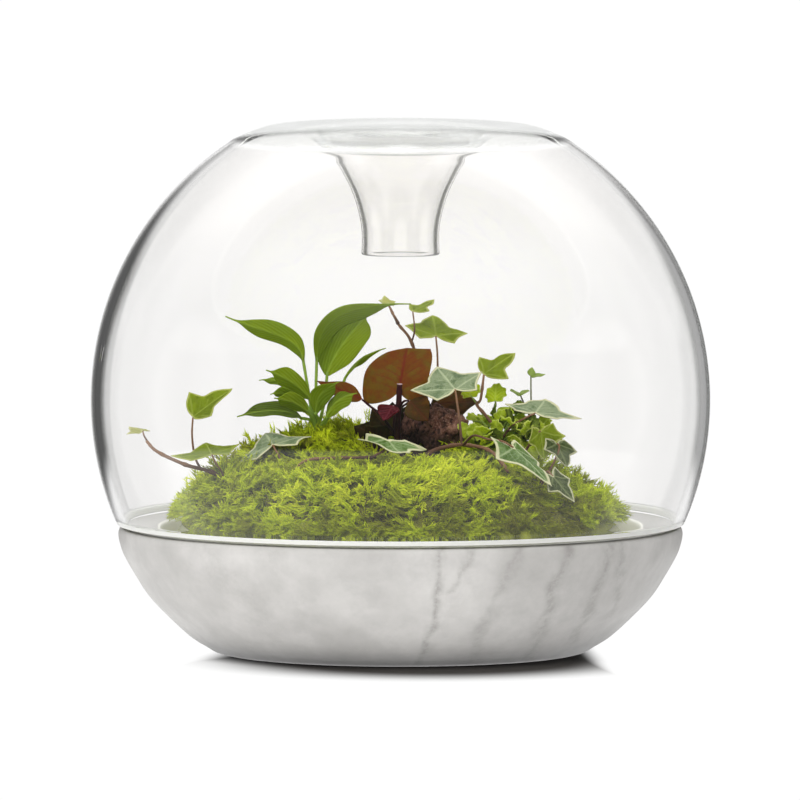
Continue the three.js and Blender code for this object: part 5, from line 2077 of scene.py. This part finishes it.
@dataclass
class Ivy:
    """Variegated ivy: sprigs at the left, behind, in front and at the right."""

    leaves: tuple[tuple[LeafFinish, Blade], ...] = (
        (YOUNG_IVY, Blade("ivy_left_young_leaf", (-124.5, -9, 107.6), (-6.5, -3, 2), (4.4, 4, 0.8),
                          fold=2, wave=0.2)),
        (GREEN_IVY, Blade("ivy_left_upright_leaf", (-100.4, -5, 113.6), (19, -4, 14.5), (-5.5, 8, 5),
                          fold=5, form=LeafForm.WEDGE)),
        (GREEN_IVY, Blade("ivy_left_low_leaf", (-90.8, -26, 97.4), (-3, 13, 4), (-18, -4, -3),
                          near=0.75)),
        (GREY_IVY, Blade("ivy_moss_left_leaf", (-61.7, -14, 101), (-4, 14, 5), (17, -4, 6.5), fold=5)),
        (CREAM_IVY, Blade("ivy_front_wavy_leaf", (-6, -41, 105.4), (6.4, -7.5, -7.4), (-16, 3, 2),
                          curl=1.5, wave=1.5)),
        (YOUNG_IVY, Blade("ivy_back_tip_leaf", (-6, 20, 167), (-2, 3, 3.6), (4, 2, -0.5), wave=0.15)),
        (GREEN_IVY, Blade("ivy_back_upper_leaf", (6, 22, 163.1), (10.6, -4, 6), (-4.4, 5, 1),
                          form=LeafForm.WEDGE)),
        (GREEN_IVY, Blade("ivy_back_broad_leaf", (17.2, 26, 150.9), (-1.5, 12, 10), (-14, -3, 2),
                          near=1.1, curl=1)),
        (GREY_IVY, Blade("ivy_right_grey_leaf", (26.4, -12, 127.6), (-9, 15, 11), (-18, -4, -4.5),
                         near=0.85, curl=2)),
        (GREEN_IVY, Blade("ivy_right_upper_leaf", (40.4, 6, 133.5), (15, -4, 11), (6.5, -11, -4),
                          form=LeafForm.WEDGE)),
        (GREY_IVY, Blade("ivy_right_spread_leaf", (65.1, -12, 116.2), (5, 13, 4.5), (20, -6, -3.5),
                         near=0.78, curl=2)),
        (GREEN_IVY, Blade("ivy_right_glossy_leaf", (67.5, -24, 108.5), (1.5, -5, -14), (11, 5, 1.5),
                          near=0.6)),
        (CREAM_IVY, Blade("ivy_right_drooping_leaf", (54, -60, 103.4), (18.4, -7, -18), (-13, -4, 2),
                          near=0.5, curl=1.5, wave=1.1)),
        (DARK_IVY, Blade("ivy_right_shaded_leaf", (75.3, -30, 103), (5, -4, -11), (8, 6, -1))),
        (DARK_IVY, Blade("ivy_right_hanging_leaf", (72.8, -58, 89.6), (10.5, -6, -12), (5, 5, 2.5))),
    )
    stems: tuple[Stem, ...] = (
        Stem("ivy_left_stem", (
            Stalk(1.05, ((-80, -15, 74), (-88.5, -15, 86.5), (-104, -14, 91.5), (-117.4, -12, 97.6),
                         (-122.7, -10, 102.6)), 0.35, 5),
            Stalk(0.5, ((-121.6, -10.4, 101.4), (-123.8, -9.6, 105), (-124.5, -9, 107.6))),
            Stalk(0.6, ((-96, -14.6, 88.6), (-99.4, -9, 95), (-100.8, -5.4, 105), (-100.4, -5, 113.6))),
            Stalk(0.5, ((-84, -16, 80), (-86, -20, 88), (-89, -24.6, 93), (-90.8, -26, 97.4))),
        )),
        Stem("ivy_moss_left_stem", (Stalk(0.6, ((-55, -18, 82), (-57.4, -17, 93), (-61.7, -14, 101))),)),
        Stem("ivy_front_stem", (
            Stalk(0.7, ((-18, -34, 84), (-14, -38, 96), (-8, -40.6, 100.5), (-6, -41, 105.4))),
            Stalk(0.75, ((-12, -38.6, 97), (-20, -46, 97.4), (-34, -50, 97.4), (-46, -50, 96),
                         (-54, -48, 88)), 0.2, 4),
        )),
        Stem("ivy_back_stem", (
            Stalk(1.0, ((16, 26, 80), (14, 26, 108), (11, 26, 130), (5.1, 25, 148.5), (-1.2, 22, 157.3),
                        (-6, 20, 167)), 0.5, 6),
            Stalk(0.5, ((5.4, 25, 147.8), (6.8, 24, 154), (6, 22, 163.1))),
            Stalk(0.6, ((13.4, 26, 112), (17.6, 26.6, 126), (18, 26, 140), (17.2, 26, 150.9))),
            Stalk(0.9, ((-1.2, 22, 157.3), (-2.6, 20.5, 160.4), (-3.6, 20, 162.4)), 0.7),
        )),
        Stem("ivy_right_runner", (
            Stalk(1.05, ((6, -46, 80), (12, -45, 97.6), (24, -38, 102.4), (34, -36, 102.4),
                         (44, -38, 99.4), (52, -42, 90)), 0.2, 6),
            Stalk(0.7, ((29.4, -37, 102.8), (28.6, -26, 112), (27.4, -16, 121), (26.4, -12, 127.6))),
            Stalk(0.6, ((30, -37, 102.6), (35, -46, 108), (42, -55, 107), (49, -61, 106.4),
                        (54, -60, 103.4))),
        )),
        Stem("ivy_right_stem", (
            Stalk(0.95, ((54, -16, 76), (49.6, -12, 101), (42.6, -8, 113), (37, -4, 119.6),
                         (38.8, 2, 122), (40.4, 6, 133.5)), 0.4, 5),
            Stalk(0.6, ((48.4, -11.8, 103), (53.6, -15, 110), (60, -15, 114), (65.1, -12, 116.2))),
            Stalk(0.7, ((52.4, -15.2, 88), (61, -22, 100), (65, -24, 106.6), (67.5, -24, 108.5))),
        )),
        Stem("ivy_edge_stem", (
            Stalk(0.7, ((64, -40, 70), (67, -44, 84), (70, -51, 91), (72.8, -58, 89.6))),
            Stalk(0.6, ((66.4, -43.2, 82), (73, -37, 93), (76.4, -31, 101), (75.3, -30, 103))),
        )),
    )
    bark: StalkFinish = StalkFinish("ivy bark", (0.075, 0.036, 0.022), (0.24, 0.13, 0.07), 0.6, 0.15)
    green: str = "ivy_green_leaf"
    slots = {"grey ivy": "ivy_grey_leaf", "ivy_right_drooping_leaf": "ivy_grey_leaf",
             "shaded ivy": "ivy_dark_leaf"}

    def build(self) -> None:
        """Make the leaves and the stems; a slot is picked for each leaf by its node or by its finish."""
        dressed = {finish: finish.material() for finish, _ in self.leaves}
        for finish, blade in self.leaves:
            slot = self.slots.get(blade.node) or self.slots.get(finish.name, self.green)
            grown([blade]).piece(f"{blade.node}_fine", dressed[finish], slot, blade.node)
        bark = self.bark.material()
        for stem in self.stems:
            grown(stem.stalks).piece(f"{stem.node}_fine", bark, "ivy_stem", stem.node)


# ---- Red-leaved plant ----


@dataclass
class RedPlant:
    """The plant with dark red stalks and olive-brown leaves."""

    leaves: tuple[tuple[LeafFinish, Blade], ...] = (
        (OLIVE_RED, Blade("red_plant_round_leaf", (-0.4, 0, 127.4), (3.4, 5, 19.6), (-17.6, 1, -1),
                          near=0.74, curl=3, form=LeafForm.ROUND, wave=1.1, near_form=LeafForm.SQUARE)),
        (OLIVE_RED, Blade("red_plant_folded_leaf", (-18.6, 0, 122), (-21.5, 2.4, 9.6), (1.4, 4, 3.6),
                          curl=-2, form=LeafForm.OVAL)),
        (ORANGE_LEAF, Blade("red_plant_small_leaf", (4.4, -9, 122), (9, -5, -9.5), (5, 2, 4), fold=1.5,
                            form=LeafForm.OVAL)),
        (ORANGE_LEAF, Blade("red_plant_arched_leaf", (15, 16, 118), (22, -1, 4), (0.5, 7, 8), curl=4,
                            form=LeafForm.OVAL)),
    )
    young: Blade = Blade("red_plant_stalks", (-3.4, -9, 119.6), (-5, -3, -7), (5, -2, -1), fold=2.4,
                         form=LeafForm.OVAL, thick=0.6)
    stalks: tuple[Stalk, ...] = (
        Stalk(1.6, ((-1.6, -2, 84), (-1.4, -4, 108), (-0.8, -5, 121), (-0.4, -5.6, 130)), 0.15),
        Stalk(0.9, ((-1.4, -3, 104), (-1.8, -1.2, 116), (-0.4, 0, 127.4))),
        Stalk(0.7, ((-1.6, -3.6, 104), (-9, -3, 114), (-15, -1, 119), (-18.6, 0, 122))),
        Stalk(0.7, ((-0.8, -5, 118), (1.6, -8, 121.6), (4.4, -9, 122))),
        Stalk(0.7, ((-1.4, -2.8, 101), (-2.8, 4, 113), (5, 12, 120), (15, 16, 118))),
        Stalk(0.8, ((-1, -4.6, 116), (-2.4, -7.4, 119.4), (-3.6, -9.2, 119.2))),
    )
    red: StalkFinish = StalkFinish("red stalk", (0.012, 0.003, 0.003), (0.035, 0.004, 0.007), 0.4, 0.05,
                                   (0.5, 0.36, 0.36))
    low_leaves: tuple[LeafPlace, ...] = (
        ((-4, 6, 104), (-10, -3, 13), (5.4, 3, 4)),
        ((-6, 8, 102), (-17, 2, 6), (3, 4, 6)),
        ((-3, 10, 103), (-1, 1, 17), (7, 2, 0)),
        ((-8, 4, 100), (-9, -6, 9), (5, -4, 4)),
        ((2, 18, 104), (12, 3, 16), (8, 0, -4)),
    )

    def build(self) -> None:
        """Make the leaves, the stalks, the rolled young leaf and the shaded low ones."""
        node, slot = self.young.node, "red_plant_leaf"
        dressed = {finish: finish.material() for finish, _ in self.leaves}
        for finish, blade in self.leaves:
            grown([blade]).piece(f"{blade.node}_fine", dressed[finish], slot, blade.node)
        grown(self.stalks).piece(f"{node}_fine", self.red.material(), "red_stalk", node)
        grown([self.young]).piece("red_plant_young_leaf", YOUNG_RED.material(), "red_stalk", node)
        # Painted shade: dark low leaves fill the shade behind the stalk.
        low = [Blade(node, *place, fold=1, form=LeafForm.OVAL, rings=8) for place in self.low_leaves]
        grown(low).piece("red_plant_low_leaves", SHADED_LEAF.material(), slot, node)


# ---- Small plants ----


@dataclass
class SmallLeafPlant:
    """The low tuft of bright scalloped leaves."""

    crown: Triple = (47, -1, 99)
    root: Stalk = Stalk(1.4, ((47, -1, 80), (47, -1, 90), (47, -1, 100)), 0.2)
    leaves: tuple[LeafPlace, ...] = (
        ((33.5, 9, 122.4), (1, 3, 7.5), (4.6, -1, 0.6)),
        ((45.6, 5, 120.6), (1, 3, 8.6), (5, -1.5, 0.4)),
        ((52, 3, 114.6), (3, 7, 3.6), (8, -3, 0.6)),
        ((39, -2, 105.4), (0.4, -2, 8.6), (4.4, 1, 0.6)),
        ((48.5, -3.4, 109), (0.6, -1, 8.6), (4.6, 1, 0)),
        ((55.4, -8.6, 101.6), (1.6, -4, 7.6), (5, 2, -0.6)),
        ((60, 0, 103.6), (3, 2, 7), (4.4, -2, 1)),
        ((41, -14, 101), (-2, -8, -0.6), (6, -2, 1)),
    )
    more: int = 84
    centre: Triple = (52, -4, 104)
    spread: Triple = (22, 17, 14)
    seed: int = 23

    def build(self) -> None:
        """Make the plant."""
        leafage, shaded, stalkage = Draft(Blade.marks), Draft(Blade.marks), grown([self.root])
        for leaf in self.leaves:
            self._add_leaf(leafage, stalkage, leaf, 12)
        for number, leaf in enumerate(self._drawn_leaves()):
            # Painted shade: two in five of the smaller leaves take the darker finish.
            self._add_leaf(shaded if number % 5 in (1, 3) else leafage, stalkage, leaf, 6)
        leafage.piece("small_leaf_plant_leaves", BRIGHT_LEAF.material(), "bright_leaf", "small_leaf_plant")
        shaded.piece("small_leaf_plant_shaded_leaves", SMALL_SHADED.material(), "bright_leaf",
                     "small_leaf_plant")
        stalk = StalkFinish("small leaf stalk", (0.2, 0.28, 0.05), (0.35, 0.5, 0.1))
        stalkage.piece("small_leaf_plant_stalks", stalk.material(), "bright_leaf", "small_leaf_plant")

    def _add_leaf(self, leafage: Draft, stalkage: Draft, leaf: LeafPlace, rings: int) -> None:
        """Add a leaf and its stalk.

        Args:
            leafage: the draft that takes the blade.
            stalkage: the draft that takes the stalk.
            leaf: the blade's joint, its way to the tip and its half-width.
            rings: how finely the blade is made.
        """
        at, along, half = leaf
        x, y, z = self.crown
        Blade("small_leaf_plant", at, along, half, form=LeafForm.SCALLOPED, wave=0.5, fold=0.8,
              rings=rings).add_to(leafage)
        middle = ((x + at[0]) / 2, (y + at[1]) / 2, z + (at[2] - z) * 0.62)
        end = tuple(a + 0.2 * b for a, b in zip(at, along))
        Stalk(0.42, ((x, y, min(z, at[2]) - 2), middle, end)).add_to(stalkage)

    def _drawn_leaves(self) -> Iterator[LeafPlace]:
        """Draw the crowd of smaller leaves round the crown.

        Yields:
            The joint of each, its way to the tip and its half-width.
        """
        draws = np.random.default_rng(self.seed)
        for _ in range(self.more):
            way = unit(draws.normal(size=3) * (1, 1, 0.8) + (0.1, -0.25, 0.3))
            at = np.array(self.centre) + way * self.spread * draws.uniform(0.45, 1)
            ahead = unit(way + draws.normal(0, 0.5, 3)) * draws.uniform(5, 7.6)
            half = unit(np.cross(ahead, draws.normal(size=3) + (0, 1.2, 0.5))) * draws.uniform(3.2, 4.6)
            yield tuple(at), tuple(ahead), tuple(half)


@dataclass
class Seedling:
    """The thin seedling at the right."""

    stems: tuple[Stalk, ...] = (
        Stalk(0.5, ((66, 10, 80), (64.6, 9, 100), (63.4, 8, 118), (63.2, 8, 133))),
        Stalk(0.45, ((64, 8.6, 110), (59.6, 8, 120), (57.6, 7, 124.6))),
    )
    leaves: tuple[LeafPlace, ...] = (
        ((63.2, 8, 132.6), (7, -2, 1.2), (0.6, 2, 0.8)),
        ((63.2, 8, 132.6), (0.6, 1.6, 4.4), (-1.9, 0.4, 0.4)),
        ((57.6, 7, 124.4), (-4.6, -5, 1.6), (-1.6, 3, 1.2)),
        ((57.6, 7, 124.4), (4.8, -2, 1.6), (0.6, 2.4, 1)),
    )

    def build(self) -> None:
        """Make the seedling."""
        look = {"form": LeafForm.OVAL, "wave": 0.15, "thick": 0.35}
        blades = [Blade("seedling", *place, **look) for place in self.leaves]
        grown(blades).piece("seedling_leaves", SEEDLING_LEAF.material(), "seedling_leaf", "seedling")
        stalk = StalkFinish("seedling stem", (0.1, 0.06, 0.03), (0.14, 0.16, 0.05))
        grown(self.stems).piece("seedling_stems", stalk.material(), "seedling_leaf", "seedling")


# ---- Assembly ----


def main() -> None:
    """Build every sub-assembly in order."""
    logging.basicConfig(level=logging.INFO, format="%(name)s: %(message)s")
    mound = Mound()
    parts: list[Any] = [
        Studio(), Floor(), MarbleBowl(), GlassDome(), Soil(mound), MossCarpet(mound),
        LavaStone("lava_rock_small", (5, 12.5, 106.5), (5.2, 5.4, 10.2), 1.7),
        LavaStone("lava_rock_large", (20.4, 1, 107), (11.2, 9.2, 11.6), 4.2),
        PeaceLily(), Ivy(), RedPlant(), SmallLeafPlant(), Seedling(),
    ]
    for part in parts:
        part.build()
        log.info("built %s", type(part).__name__)


if __name__ == "__main__":
    main()
